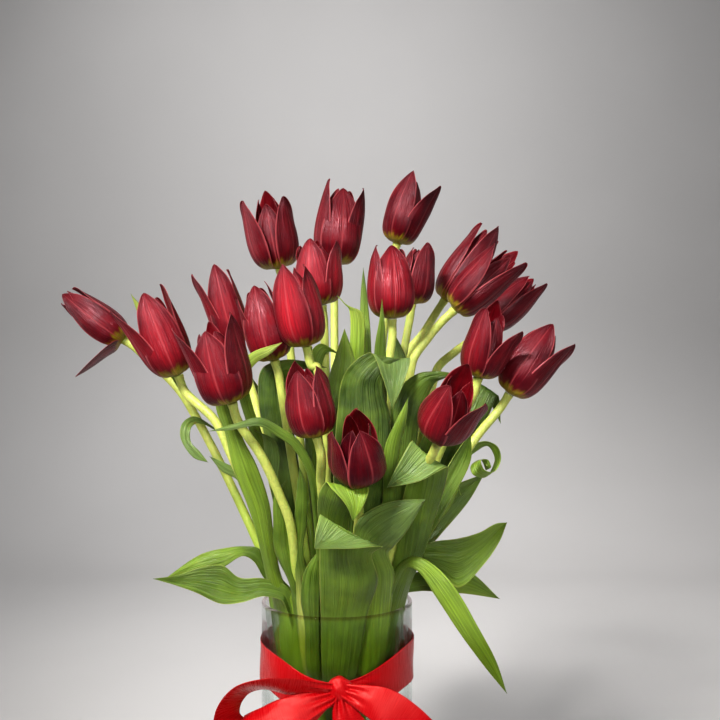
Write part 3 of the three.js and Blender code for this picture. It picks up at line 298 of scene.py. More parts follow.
def seen(place):
    """The place's own millimetres in the frame."""
    across, up, depth = place[:3]
    reach = (depth - EYE[1]) / -EYE[1]
    return np.array((EYE[0] + (across - EYE[0]) * reach, depth, EYE[2] + (up - EYE[2]) * reach))


def unit(vectors):
    """The vectors at length one."""
    length = np.linalg.norm(vectors, axis=-1, keepdims=True)
    return vectors / np.maximum(length, 1e-9)


def along(places, stops):
    """A smooth run through the places, stops counting them from 0. Extra columns run along too."""
    places = np.asarray(places, float)
    stops = np.atleast_1d(np.asarray(stops, float))
    last = len(places) - 1
    i = np.minimum(stops.astype(int), last - 1)
    a, b, c, d = (places[k] for k in (np.maximum(i - 1, 0), i, i + 1, np.minimum(i + 2, last)))
    u = (stops - i)[:, None]
    span = np.linalg.norm((c - b)[:, :3], axis=1)[:, None]
    before = span / (np.linalg.norm((b - a)[:, :3], axis=1)[:, None] + span)
    after = span / (span + np.linalg.norm((d - c)[:, :3], axis=1)[:, None])
    into, away, rise = (c - a) * before, (d - b) * after, c - b
    return b + u * (into + u * (3 * rise - 2 * into - away + u * (into + away - 2 * rise)))


def spaced(places, apart, within):
    """Moves places in plan apart until each pair keeps its distance, inside a circle."""
    spots = [list(p) for p in places]
    for _ in range(SPREAD_ROUNDS):
        for i, here in enumerate(spots):
            for there in spots[i + 1:]:
                dx, dy = there[0] - here[0], there[1] - here[1]
                distance = max(hypot(dx, dy), 0.01)
                if distance < apart:
                    push = (apart - distance) / distance / 2
                    here[0] -= dx * push
                    here[1] -= dy * push
                    there[0] += dx * push
                    there[1] += dy * push
            reach = hypot(*here)
            if reach > within:
                here[0] *= within / reach
                here[1] *= within / reach
    return spots


def bloom_frame(flower):
    """The bloom's base, length, and the directions of its axis, its front and its right."""
    base, tip = seen(flower.base), seen(flower.tip)
    length = np.linalg.norm(tip - base)
    axis = (tip - base) / length
    front = np.array((0.0, -1.0, 0.0))
    front = unit(front - axis * front.dot(axis))
    return base, length, axis, front, np.cross(axis, front)


def stem_paths():
    """Every stem's places, from its foot in the vase to the base of its bloom."""
    bases = [seen(flower.base) for flower in FLOWERS]
    levels = []
    for z, apart, within, ease in SPREAD:
        start = levels[0] if levels else [b[:2] * WAIST_SHARE for b in bases]
        places = []
        for here, base in zip(start, bases):
            share = ease * (z - WAIST) / (base[2] - WAIST)
            places.append([here[k] + (base[k] - here[k]) * share for k in (0, 1)])
        levels.append(spaced(places, apart, within))
    paths = []
    for i, flower in enumerate(FLOWERS):
        path = [(*levels[0][i], FLOOR + GAP), (*levels[0][i], STRAIGHT_TO)]
        path += [(*level[i], z) for level, (z, *_) in zip(levels, SPREAD)]
        path += [tuple(seen(place)) for place in reversed(flower.via)]
        base, _, axis, _, _ = bloom_frame(flower)
        end = base - axis * GAP
        path += [tuple(end - axis * NECK_RUN), tuple(end)]
        paths.append(np.array(path))
    return paths


# ---- what a user would change ------------------------------------------------------------------

VASE_LOW, VASE_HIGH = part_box("vase")
VASE_RADIUS = (VASE_HIGH[0] - VASE_LOW[0]) / 2
WATER_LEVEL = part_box("water")[1][2]


def length_property(name, description, default):
    return bpy.props.FloatProperty(name=name, description=description, default=default, min=0,
                                   subtype="DISTANCE", unit="LENGTH", precision=4)


def colour_property(name, description, default):
    return bpy.props.FloatVectorProperty(name=name, description=description, default=default, size=3,
                                         min=0, max=1, subtype="COLOR")


class TulipSizes(bpy.types.PropertyGroup):
    """Sizes of the vase, the ribbon and the plants' thin parts."""
    vase_radius: length_property("Vase Radius", "Outside radius of the glass", VASE_RADIUS)
    vase_height: length_property("Vase Height", "Height of the glass", VASE_HIGH[2])
    vase_wall: length_property("Vase Wall", "Thickness of the glass wall", 3 * MM)
    water_level: length_property("Water Level", "Height of the water's surface", WATER_LEVEL)
    ribbon_width: length_property("Ribbon Width", "Width of the satin ribbon", 31 * MM)
    ribbon_thickness: length_property("Ribbon Thickness", "Thickness of the satin ribbon", 0.4 * MM)
    petal_thickness: length_property("Petal Thickness", "Thickness of a petal at its middle", 0.7 * MM)
    leaf_thickness: length_property("Leaf Thickness", "Thickness of a leaf at its middle", 0.8 * MM)
    anther_length: length_property("Anther Length", "Length of a stamen's anther", 7 * MM)


class TulipColours(bpy.types.PropertyGroup):
    """Colours of the petals, leaves, stems, ribbon and studio."""
    petal: colour_property("Petal", "Wine red of a shaded petal", srgb(80, 3, 16))
    # Painted light: the red that petals are given where the light falls on them.
    petal_painted_light: colour_property("Lit Petal", "Rose red of a petal with the light on it", srgb(194, 42, 54))
    # On the rim this pink is a painted highlight along the petal's edges.
    petal_rim: colour_property("Petal Rim", "Pink of a petal's rim and rib", srgb(206, 96, 100))
    petal_inside: colour_property("Petal Inside", "Red of a petal's inner face", srgb(124, 2, 14))
    petal_vein: colour_property("Petal Vein", "Purple of the dark streaks", srgb(48, 2, 16))
    petal_base: colour_property("Petal Base", "Yellow where the petals meet the stem", srgb(176, 164, 30))
    leaf_dark: colour_property("Dark Leaf", "Green of the shaded leaves", srgb(38, 58, 10))
    leaf_mid: colour_property("Leaf", "Green of most leaves", srgb(90, 114, 34))
    # Also the painted light on the fronts of lit leaves.
    leaf_bright: colour_property("Bright Leaf", "Yellow green of the thin leaves", srgb(150, 180, 58))
    leaf_pale: colour_property("Pale Leaf", "Mint of the leaves' other face", srgb(122, 146, 84))
    # On the leaves' edges this yellow is a painted highlight.
    leaf_yellow: colour_property("Leaf Tip", "Yellow of the leaf tips and stem necks", srgb(206, 212, 112))
    anther: colour_property("Anther", "Near black of the anthers", srgb(38, 16, 34))
    ribbon: colour_property("Ribbon", "Red of the satin", srgb(180, 8, 18))
    backdrop: colour_property("Backdrop", "Pale grey of the floor and backdrop", srgb(206, 204, 203))


# Tone letters: the dark, bright and pale greens on a leaf's front also paint the shade and light that fall on
# it.
TONES = {"d": "leaf_dark", "m": "leaf_mid", "b": "leaf_bright", "p": "leaf_pale", "y": "leaf_yellow"}


def sizes():
    return bpy.context.scene.tulip_sizes


def colours():
    return bpy.context.scene.tulip_colours


def tones_along(letters, shares):
    """The colour at each share of the way along a run of tone letters."""
    stops = np.array([getattr(colours(), TONES[letter])[:] for letter in letters])
    if len(stops) == 1:
        return np.repeat(stops, len(shares), axis=0)
    places = np.asarray(shares) * (len(stops) - 1)
    i = np.minimum(places.astype(int), len(stops) - 2)
    u = (places - i)[:, None]
    return stops[i] * (1 - u) + stops[i + 1] * u


# ---- building meshes ---------------------------------------------------------------------------

TOUCHING, SLIVER = 2e-6, 1e-7  # in metres: points that are merged, and edges too short to keep
WHITE, NO_SHAPE = (1, 1, 1), (0, 0, 0)


class Body:
    """Gathers points and faces with what the materials read from them.

    Grain runs along the surface in millimetres, Shape is its place across (-1 to 1), along
    (0 to 1) and on its inner face (0 or 1), and Tone its own colour.
    """

    def __init__(self):
        self.points, self.grain, self.shape, self.tone = [], [], [], []
        self.faces, self.slots = [], []
        self.count = 0

    def add_points(self, points, grain, shape, tone):
        """Adds points in millimetres, once the faces that count them from 0 are added."""
        stores = (self.points, self.grain, self.shape, self.tone)
        for store, values in zip(stores, (points, grain, shape, tone)):
            store.append(np.broadcast_to(np.asarray(values, float), (len(points), 3)))
        self.count += len(points)

    def add_faces(self, faces, slots):
        self.faces.append(np.asarray(faces) + self.count)
        self.slots.append(np.broadcast_to(slots, len(faces)))

    def add(self, points, faces, slot=0, grain=None, shape=NO_SHAPE, tone=WHITE):
        self.add_faces(faces, slot)
        self.add_points(points, points if grain is None else grain, shape, tone)

    def add_blade(self, middle, half, slot, grain, across, share, tones, closed=False):
        """Adds a thin closed body about the grid `middle`, of rows along and columns across it."""
        rows, columns = middle.shape[:2]
        ahead = np.gradient(middle, axis=0)
        if closed:
            ahead = (np.roll(middle, -1, axis=0) - np.roll(middle, 1, axis=0)) / 2
        normal = unit(np.cross(np.gradient(middle, axis=1), ahead))
        ends_in_a_point = np.linalg.norm(middle[-1, 0] - middle[-1, -1]) < 0.01
        if ends_in_a_point:
            normal[-1] = normal[-2]
        offset = normal * np.broadcast_to(half, (rows, columns))[..., None]
        points = np.concatenate([(middle + offset).reshape(-1, 3), (middle - offset).reshape(-1, 3)])
        front = np.arange(rows * columns).reshape(rows, columns)
        back = front + rows * columns
        if closed:
            front, back = (np.vstack([g, g[:1]]) for g in (front, back))
        quads = [
            (front[:-1, :-1], front[:-1, 1:], front[1:, 1:], front[1:, :-1]),
            (back[:-1, :-1], back[1:, :-1], back[1:, 1:], back[:-1, 1:]),
            (front[:-1, 0], front[1:, 0], back[1:, 0], back[:-1, 0]),
            (front[:-1, -1], back[:-1, -1], back[1:, -1], front[1:, -1]),
        ]
        if not closed:
            quads.append((front[0, :-1], back[0, :-1], back[0, 1:], front[0, 1:]))
            quads.append((front[-1, :-1], front[-1, 1:], back[-1, 1:], back[-1, :-1]))
        faces = np.concatenate([np.stack([g.ravel() for g in quad], axis=1) for quad in quads])
        grid = (rows, columns)
        across, share = np.broadcast_to(across, grid), np.broadcast_to(share, grid)
        shape = [np.stack([across, share, np.full(grid, side)], axis=-1) for side in (0.0, 1.0)]
        rows_of_three = [
            np.concatenate([np.broadcast_to(values, (*grid, 3)).reshape(-1, 3) for values in both])
            for both in ((grain, grain), shape, tones)]
        self.add(points, faces, slot, *rows_of_three)

    def add_mesh(self, mesh, place, slot, tone):
        """Adds a mesh, moved by `place`, a function from its points in metres to millimetres."""
        points = np.empty(len(mesh.vertices) * 3)
        mesh.vertices.foreach_get("co", points)
        points = place(points.reshape(-1, 3))
        for sides in sorted({len(p.vertices) for p in mesh.polygons}):
            chosen = [p for p in mesh.polygons if len(p.vertices) == sides]
            self.add_faces([p.vertices[:] for p in chosen], [slot + p.material_index for p in chosen])
        self.add_points(points, points, NO_SHAPE, tone)

    def make(self, name, materials, node):
        """Makes the finished object: one smooth, closed, outward mesh that replaces the node."""
        mesh = bpy.data.meshes.new(name)
        faces = [face.tolist() for batch in self.faces for face in batch]
        mesh.from_pydata((np.concatenate(self.points) * MM).tolist(), [], faces)
        for material in materials:
            mesh.materials.append(bpy.data.materials[material])
        mesh.polygons.foreach_set("material_index", np.concatenate(self.slots).astype(np.int32))
        for title, store in (("Grain", self.grain), ("Shape", self.shape)):
            values = mesh.attributes.new(title, "FLOAT_VECTOR", "POINT").data
            values.foreach_set("vector", np.concatenate(store).ravel())
        tone = np.concatenate(self.tone)
        tone = np.hstack([tone, np.ones((len(tone), 1))])
        mesh.attributes.new("Tone", "FLOAT_COLOR", "POINT").data.foreach_set("color", tone.ravel())
        weld(mesh)
        piece = new_object(name, mesh)
        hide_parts(node)
        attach(piece, BODY)
        return piece


def new_object(name, data):
    """A new object in the scene, at the origin."""
    made = bpy.data.objects.new(name, data)
    bpy.context.scene.collection.objects.link(made)
    return made


def weld(mesh):
    """Merges points that coincide, at poles, tips and seams, and shades the mesh smooth."""
    work = bmesh.new()
    work.from_mesh(mesh)
    bmesh.ops.remove_doubles(work, verts=work.verts, dist=TOUCHING)
    bmesh.ops.dissolve_degenerate(work, edges=work.edges, dist=SLIVER)
    work.to_mesh(mesh)
    work.free()
    mesh.polygons.foreach_set("use_smooth", [True] * len(mesh.polygons))
    mesh.update()


def ring_faces(rings, sides):
    """Faces between rings of points that close on themselves."""
    ids = np.arange(rings * sides).reshape(rings, sides)
    after = np.roll(ids, -1, axis=1)
    return np.stack([g.ravel() for g in (ids[:-1], after[:-1], after[1:], ids[1:])], axis=1)


def lathe_grid(profile, sides):
    """Points and faces of a profile of (radius, height) turned about the Z axis."""
    turns = np.arange(sides) / sides * 2 * pi
    radius, height = np.array(profile).T
    points = np.stack([
        radius[:, None] * np.cos(turns), radius[:, None] * np.sin(turns),
        np.broadcast_to(height[:, None], (len(profile), sides)),
    ], axis=-1)
    return points.reshape(-1, 3), ring_faces(len(profile), sides)


def rounded(points, radii, steps=5):
    """A profile with its inner corners rounded, each by its own radius or all by the same."""
    out = [points[0]]
    points = np.array(points, float)
    radii = np.broadcast_to(radii, len(points) - 2)
    for before, corner, after, radius in zip(points, points[1:], points[2:], radii):
        near = min(radius, np.linalg.norm(before - corner) / 2, np.linalg.norm(after - corner) / 2)
        start = corner + unit(before - corner) * near
        end = corner + unit(after - corner) * near
        for k in range(steps + 1):
            t = k / steps
            out.append(tuple(start * (1 - t) ** 2 + corner * 2 * t * (1 - t) + end * t * t))
    out.append(points[-1])
    return out


# ---- shader building ---------------------------------------------------------------------------

BELOW_RIM_TINT, BELOW_RIM_TINT_RISE = (0.55, 0.58, 0.16), 24 * MM  # the share of each channel kept below the vase's rim, and the run below the rim over which it fades in


class Nodes:
    """Adds and joins the nodes of one tree."""

    def __init__(self, tree):
        self.tree = tree

    def add(self, kind, settings=None, **inputs):
        """A new node, with its inputs by their names, _ standing for a space."""
        node = self.tree.nodes.new(kind)
        for key, value in (settings or {}).items():
            setattr(node, key, value)
        for key, value in inputs.items():
            self.put(node.inputs[key.replace("_", " ")], value)
        return node

    def put(self, socket, value):
        """Joins an output to the socket, or sets the socket's own value."""
        if isinstance(value, bpy.types.NodeSocket):
            self.tree.links.new(value, socket)
        else:
            socket.default_value = value

    def math(self, operation, *values):
        node = self.add("ShaderNodeMath", {"operation": operation})
        for socket, value in zip(node.inputs, values):
            self.put(socket, value)
        return node.outputs[0]

    def mix(self, factor, first, second, blend="MIX"):
        settings = {"data_type": "RGBA", "blend_type": blend}
        return self.add("ShaderNodeMix", settings, Factor=factor, A=first, B=second).outputs["Result"]

    def step(self, value, low, high, first=0.0, second=1.0):
        """The value's smooth rise from first at low to second at high."""
        settings = {"interpolation_type": "SMOOTHSTEP"}
        return self.add("ShaderNodeMapRange", settings, Value=value, From_Min=low, From_Max=high,
                        To_Min=first, To_Max=second).outputs["Result"]

    def noise(self, place, scale, detail, roughness=0.5):
        return self.add("ShaderNodeTexNoise", Vector=place, Scale=scale, Detail=detail,
                        Roughness=roughness).outputs["Fac"]

    def object_place(self):
        return self.add("ShaderNodeTexCoord").outputs["Object"]

    def height(self):
        """The height in the frame, in metres."""
        return self.add("ShaderNodeSeparateXYZ", Vector=self.object_place()).outputs["Z"]

    def attribute(self, name, output="Vector"):
        return self.add("ShaderNodeAttribute", {"attribute_name": name}).outputs[output]

    def lay(self, below, colour, mask, share):
        """A colour laid over the one below, as much as its mask and its share say."""
        return self.mix(self.math("MULTIPLY", mask, share), below, (*colour, 1))

    def lay_all(self, below, *layers):
        """Layers of (colour, mask, share), each laid over the one before."""
        for layer in layers:
            below = self.lay(below, *layer)
        return below


def group(name, inputs, outputs, fill):
    """A shader node group, built once; fill gets its nodes, what it is given and what it puts out.

    Its inputs have a default where they are numbers, and otherwise a kind of socket.
    """
    if name in bpy.data.node_groups:
        return bpy.data.node_groups[name]
    tree = bpy.data.node_groups.new(name, "ShaderNodeTree")
    for title, value in inputs.items():
        number = isinstance(value, float)
        kind = "Float" if number else value
        socket = tree.interface.new_socket(title, in_out="INPUT", socket_type="NodeSocket" + kind)
        if number:
            socket.default_value = value
    for title, kind in outputs.items():
        tree.interface.new_socket(title, in_out="OUTPUT", socket_type="NodeSocket" + kind)
    nodes = Nodes(tree)
    fill(nodes, nodes.add("NodeGroupInput").outputs, nodes.add("NodeGroupOutput").inputs)
    return tree


def use(nodes, tree, **inputs):
    """A node that places a group, with its inputs by their names."""
    return nodes.add("ShaderNodeGroup", {"node_tree": tree}, **inputs)


def veins_group():
    """Lengthwise veins: a noise stretched along the grain."""
    def fill(nodes, given, out):
        stretch = nodes.add("ShaderNodeCombineXYZ", X=given["Across"], Y=given["Along"], Z=1.0)
        scaled = nodes.add("ShaderNodeVectorMath", {"operation": "MULTIPLY"})
        nodes.put(scaled.inputs[0], given["Grain"])
        nodes.put(scaled.inputs[1], stretch.outputs[0])
        noise = nodes.noise(scaled.outputs[0], 1.0, given["Detail"], 0.6)
        nodes.put(out["Value"], nodes.step(noise, 0.3, 0.7))

    inputs = {"Grain": "Vector", "Across": 1.0, "Along": 0.05, "Detail": 2.0}
    return group("Lengthwise veins", inputs, {"Value": "Float"}, fill)


def edge_group():
    """Masks of a thin rim along both edges, of a rib down the middle and of the inner face."""
    def fill(nodes, given, out):
        parts = nodes.add("ShaderNodeSeparateXYZ", Vector=given["Shape"]).outputs
        side = nodes.math("ABSOLUTE", parts["X"])
        inset = nodes.math("SUBTRACT", 1.0, given["Rim Width"])
        nodes.put(out["Rim"], nodes.step(side, inset, 1.0))
        nodes.put(out["Rib"], nodes.step(side, 0.0, given["Rib Width"], 1.0, 0.0))
        nodes.put(out["Inner"], parts["Z"])

    inputs = {"Shape": "Vector", "Rim Width": 0.06, "Rib Width": 0.06}
    return group("Rim and rib", inputs, {"Rim": "Float", "Rib": "Float", "Inner": "Float"}, fill)


def mottle_group():
    """Soft blotches over the surface, for colour and roughness."""
    def fill(nodes, given, out):
        noise = nodes.noise(nodes.object_place(), given["Scale"], 3.0, 0.55)
        nodes.put(out["Value"], nodes.step(noise, 0.3, 0.7))

    return group("Mottle", {"Scale": 40.0}, {"Value": "Float"}, fill)


def below_rim_group():
    """Darkens and yellows a colour below the vase's rim."""
    def fill(nodes, given, out):
        under = nodes.math("SUBTRACT", given["Level"], nodes.height())
        tinted = nodes.mix(1.0, given["Color"], (*BELOW_RIM_TINT, 1), "MULTIPLY")
        nodes.put(out["Color"], nodes.mix(nodes.step(under, 0.0, BELOW_RIM_TINT_RISE), given["Color"], tinted))

    return group("Darker below the rim", {"Color": "Color", "Level": 0.2}, {"Color": "Color"}, fill)


def veins(nodes, across, along, detail):
    """Veins of a scale across and along the grain."""
    grain = nodes.attribute("Grain")
    return use(nodes, veins_group(), Grain=grain, Across=across, Along=along, Detail=detail).outputs[0]


def edges(nodes, rim, rib):
    """The outputs Rim, Rib and Inner, with both widths as shares of half the piece's width."""
    shape = nodes.attribute("Shape")
    return use(nodes, edge_group(), Shape=shape, Rim_Width=rim, Rib_Width=rib).outputs


def mottle(nodes, scale):
    """Soft blotches, more and smaller for a larger scale."""
    return use(nodes, mottle_group(), Scale=scale).outputs[0]


def below_rim(nodes, colour):
    """The colour, darker and yellower below the vase's rim."""
    return use(nodes, below_rim_group(), Color=colour, Level=sizes().vase_height).outputs[0]


def new_material(name, **constants):
    """A material's nodes and Principled shader; the constants are set on the shader's sockets."""
    material = bpy.data.materials.new(name)
    material.use_nodes = True
    shader = material.node_tree.nodes["Principled BSDF"]
    for key, value in constants.items():
        shader.inputs[key.replace("_", " ")].default_value = value
    return Nodes(material.node_tree), shader


def bump(nodes, shader, height, distance, strength=1.0):
    node = nodes.add("ShaderNodeBump", Height=height, Distance=distance, Strength=strength)
    nodes.put(shader.inputs["Normal"], node.outputs["Normal"])


def grooves(nodes, shader, broad, broad_share, fine, fine_share, distance):
    """A bump of two sizes of veins."""
    parts = (nodes.math("MULTIPLY", *pair) for pair in ((broad, broad_share), (fine, fine_share)))
    bump(nodes, shader, nodes.math("ADD", *parts), distance)


def petal_material():
    """Wine red petals: dark lengthwise veins, a pale rim painted as a highlight along the edges, a pale rib,
    a yellow base in their tone.
    """
    hue = colours()
    nodes, shader = new_material(
        "Petal", Roughness=0.36, Subsurface_Weight=0.05, Subsurface_Scale=0.002, Sheen_Weight=0.03,
        Sheen_Roughness=0.3, Sheen_Tint=(1, 0.55, 0.62, 1), Specular_IOR_Level=0.4,
        Specular_Tint=(1, 0.62, 0.68, 1))
    edge = edges(nodes, 0.12, 0.08)
    broad, fine = veins(nodes, 0.3, 0.02, 2.0), veins(nodes, 1.1, 0.04, 3.0)
    outer_rib = nodes.math("MULTIPLY", edge["Rib"], nodes.math("SUBTRACT", 1.0, edge["Inner"]))
    # The pale rim laid along the edges is a painted highlight.
    red = nodes.lay_all(
        nodes.attribute("Tone", "Color"), (hue.petal_vein, broad, 0.32), (hue.petal_vein, fine, 0.5),
        (hue.petal_painted_light, mottle(nodes, 70.0), 0.15), (hue.petal_rim, edge["Rim"], 0.6),
        (hue.petal_rim, outer_rib, 0.3))
    nodes.put(shader.inputs["Base Color"], red)
    nodes.put(shader.inputs["Roughness"], nodes.step(fine, 0.0, 1.0, 0.3, 0.46))
    grooves(nodes, shader, broad, 0.5, fine, 0.4, 0.0005)


def leaf_material():
    """Waxy leaves: their tone, with painted light and shade in it, parallel veins and a thin pale rim painted
    as a highlight.
    """
    hue = colours()
    nodes, shader = new_material(
        "Leaf", Roughness=0.4, Subsurface_Weight=0.08, Subsurface_Scale=0.002, Specular_IOR_Level=0.5,
        Sheen_Weight=0.04, Sheen_Roughness=0.4, Sheen_Tint=(0.85, 1, 0.75, 1),
        Specular_Tint=(0.9, 1, 0.75, 1))
    edge = edges(nodes, 0.05, 0.06)
    broad, fine = veins(nodes, 0.3, 0.012, 2.0), veins(nodes, 1.1, 0.02, 2.0)
    blotch = mottle(nodes, 45.0)
    # The pale yellow rim laid along the edges is a painted highlight.
    green = nodes.lay_all(
        nodes.attribute("Tone", "Color"), (hue.leaf_pale, veins(nodes, 0.16, 0.03, 3.0), 0.25),
        (hue.leaf_dark, broad, 0.32), (hue.leaf_dark, fine, 0.42), (hue.leaf_bright, blotch, 0.25),
        (hue.leaf_yellow, edge["Rim"], 0.35), (hue.leaf_dark, edge["Rib"], 0.25))
    nodes.put(shader.inputs["Base Color"], below_rim(nodes, green))
    nodes.put(shader.inputs["Roughness"], nodes.step(blotch, 0.0, 1.0, 0.32, 0.5))
    grooves(nodes, shader, broad, 0.5, fine, 0.5, 0.0007)


def stem_material():
    """Smooth round stems with faint streaks."""
    hue = colours()
    nodes, shader = new_material(
        "Stem", Roughness=0.4, Subsurface_Weight=0.12, Subsurface_Scale=0.003, Specular_IOR_Level=0.45)
    streak, blotch = veins(nodes, 0.7, 0.03, 3.0), mottle(nodes, 60.0)
    green = nodes.lay_all(
        nodes.attribute("Tone", "Color"), (hue.leaf_mid, streak, 0.3), (hue.leaf_bright, blotch, 0.2))
    nodes.put(shader.inputs["Base Color"], below_rim(nodes, green))
    nodes.put(shader.inputs["Roughness"], nodes.step(blotch, 0.0, 1.0, 0.33, 0.5))
    bump(nodes, shader, streak, 0.0002)


def plain_material(name, roughness, scale, spread):
    """A small part in its own tone, darkened by a mottle."""
    nodes, shader = new_material(name, Roughness=roughness)
    tone = nodes.attribute("Tone", "Color")
    blotch = mottle(nodes, scale)
    shade = nodes.mix(1.0, tone, (0.45, 0.45, 0.45, 1), "MULTIPLY")
    nodes.put(shader.inputs["Base Color"], nodes.mix(nodes.math("MULTIPLY", blotch, spread), tone, shade))
    bump(nodes, shader, blotch, 0.0003)


def through_glass(nodes, shader, tint, thin=0.0):
    """Lets light through the clear body without the noise of bent shadows.

    thin is the share of it that is seen straight through, as through a wall too thin to bend light.
    """
    clear = nodes.add("ShaderNodeBsdfTransparent", Color=(*tint, 1))
    path = nodes.add("ShaderNodeLightPath")
    either = nodes.math("MAXIMUM", path.outputs["Is Shadow Ray"], path.outputs["Is Diffuse Ray"])
    either = nodes.math("MAXIMUM", either, thin)
    mixed = nodes.add("ShaderNodeMixShader")
    for socket, value in zip(mixed.inputs, (either, shader.outputs[0], clear.outputs[0])):
        nodes.put(socket, value)
    output = next(n for n in nodes.tree.nodes if n.type == "OUTPUT_MATERIAL")
    nodes.put(output.inputs["Surface"], mixed.outputs[0])


def glass_material():
    """Clear glass with faint wipe marks, and a rim tinted pinkish grey as a painted reflection of the red
    around it.
    """
    # The rim's pinkish grey is a painted reflection of the red around it.
    clear, painted_rim_reflection = (0.96, 0.985, 0.975, 1), (0.62, 0.5, 0.5, 1)
    nodes, shader = new_material(
        "Clear glass", Base_Color=clear, Transmission_Weight=1.0, IOR=1.1, Roughness=0.0)
    nodes.put(shader.inputs["Roughness"], nodes.step(mottle(nodes, 18.0), 0.4, 1.0, 0.0, 0.03))
    top = sizes().vase_height
    rim = nodes.step(nodes.height(), top - 4 * MM, top - 1 * MM)
    nodes.put(shader.inputs["Base Color"], nodes.mix(rim, clear, painted_rim_reflection))
    through_glass(nodes, shader, (0.95, 0.97, 0.96), nodes.step(rim, 0.0, 1.0, 0.6, 0.1))


def water_material():
    """Clear water, very slightly green."""
    nodes, shader = new_material(
        "Water", Base_Color=(0.95, 0.985, 0.96, 1), Transmission_Weight=1.0, IOR=1.333, Roughness=0.0)
    bump(nodes, shader, nodes.noise(nodes.object_place(), 35.0, 1.0), 0.0004, 0.3)
    through_glass(nodes, shader, (0.95, 0.98, 0.96))


def satin_material():
    """Red satin: fine weft lines across a soft shine, and a woven edge that is a little darker."""
    nodes, shader = new_material(
        "Red satin", Roughness=0.3, Sheen_Weight=0.08, Sheen_Roughness=0.3, Sheen_Tint=(1, 0.3, 0.25, 1),
        Specular_IOR_Level=0.9, Specular_Tint=(1, 0.25, 0.22, 1), Anisotropic=0.5)
    red = colours().ribbon
    deep = [0.5 * c for c in red]
    rim = edges(nodes, 0.08, 0.1)["Rim"]
    weft, warp = veins(nodes, 0.05, 2.6, 1.0), veins(nodes, 3.4, 0.06, 1.0)
    cloth = nodes.lay_all((*red, 1), (deep, weft, 0.03), (deep, mottle(nodes, 45.0), 0.15), (deep, rim, 0.35))
    nodes.put(shader.inputs["Base Color"], cloth)
    nodes.put(shader.inputs["Roughness"], nodes.step(weft, 0.0, 1.0, 0.24, 0.32))
    grooves(nodes, shader, nodes.math("ADD", weft, nodes.math("MULTIPLY", rim, 2.5)), 0.4, warp, 0.6, 0.00007)


def paper_material():
    """The studio's floor and backdrop, matt, with darker blotches painted as the shade of faint folds."""
    nodes, shader = new_material("Backdrop", Roughness=0.9, Specular_IOR_Level=0.1)
    pale = colours().backdrop
    shade = [0.93 * c for c in pale]
    # Painted shade: darker blotches standing for faint folds.
    nodes.put(shader.inputs["Base Color"], nodes.lay((*pale, 1), shade, mottle(nodes, 1.2), 1.0))


# ---- geometry node trees -----------------------------------------------------------------------

class Tree(Nodes):
    """A geometry node tree with named inputs, run on meshes."""

    def __init__(self, name, inputs):
        super().__init__(bpy.data.node_groups.new(name, "GeometryNodeTree"))
        sockets = self.tree.interface
        for way in ("INPUT", "OUTPUT"):
            sockets.new_socket("Geometry", in_out=way, socket_type="NodeSocketGeometry")
        self.keys = {}
        for title, kind in inputs:
            self.keys[title] = sockets.new_socket(title, in_out="INPUT", socket_type=kind).identifier
        self.given = self.add("NodeGroupInput").outputs

    def end(self, geometry):
        """Ends the tree in plain geometry of the given material."""
        real = self.add("GeometryNodeRealizeInstances", Geometry=geometry)
        done = self.add("GeometryNodeSetMaterial", Geometry=real.outputs[0], Material=self.given["Material"])
        self.add("NodeGroupOutput", Geometry=done.outputs[0])

    def run(self, base, **values):
        """The tree's result on a mesh, as a plain mesh."""
        carrier = new_object("carrier", base)
        modifier = carrier.modifiers.new("tree", "NODES")
        modifier.node_group = self.tree
        for key, value in values.items():
            modifier[self.keys[key.replace("_", " ")]] = value
        bpy.context.view_layer.update()
        evaluated = carrier.evaluated_get(bpy.context.evaluated_depsgraph_get())
        result = bpy.data.meshes.new_from_object(evaluated)
        carrier.modifiers.clear()
        bpy.data.objects.remove(carrier)
        return result


def stem_tree():
    """A round stem that follows a path, as thick as the path's own Thick attribute says."""
    tree = Tree("Stem along its path", (("Sides", "NodeSocketInt"), ("Material", "NodeSocketMaterial")))
    named = tree.add("GeometryNodeInputNamedAttribute", {"data_type": "FLOAT"}, Name="Thick")
    thick = named.outputs["Attribute"]
    curve = tree.add("GeometryNodeMeshToCurve", Mesh=tree.given["Geometry"])
    sized = tree.add("GeometryNodeSetCurveRadius", Curve=curve.outputs["Curve"], Radius=thick)
    ring = tree.add("GeometryNodeCurvePrimitiveCircle", Resolution=tree.given["Sides"], Radius=1.0)
    skin = tree.add("GeometryNodeCurveToMesh", Curve=sized.outputs["Curve"],
                    Profile_Curve=ring.outputs["Curve"], Scale=thick, Fill_Caps=True)
    tree.end(skin.outputs["Mesh"])
    return tree


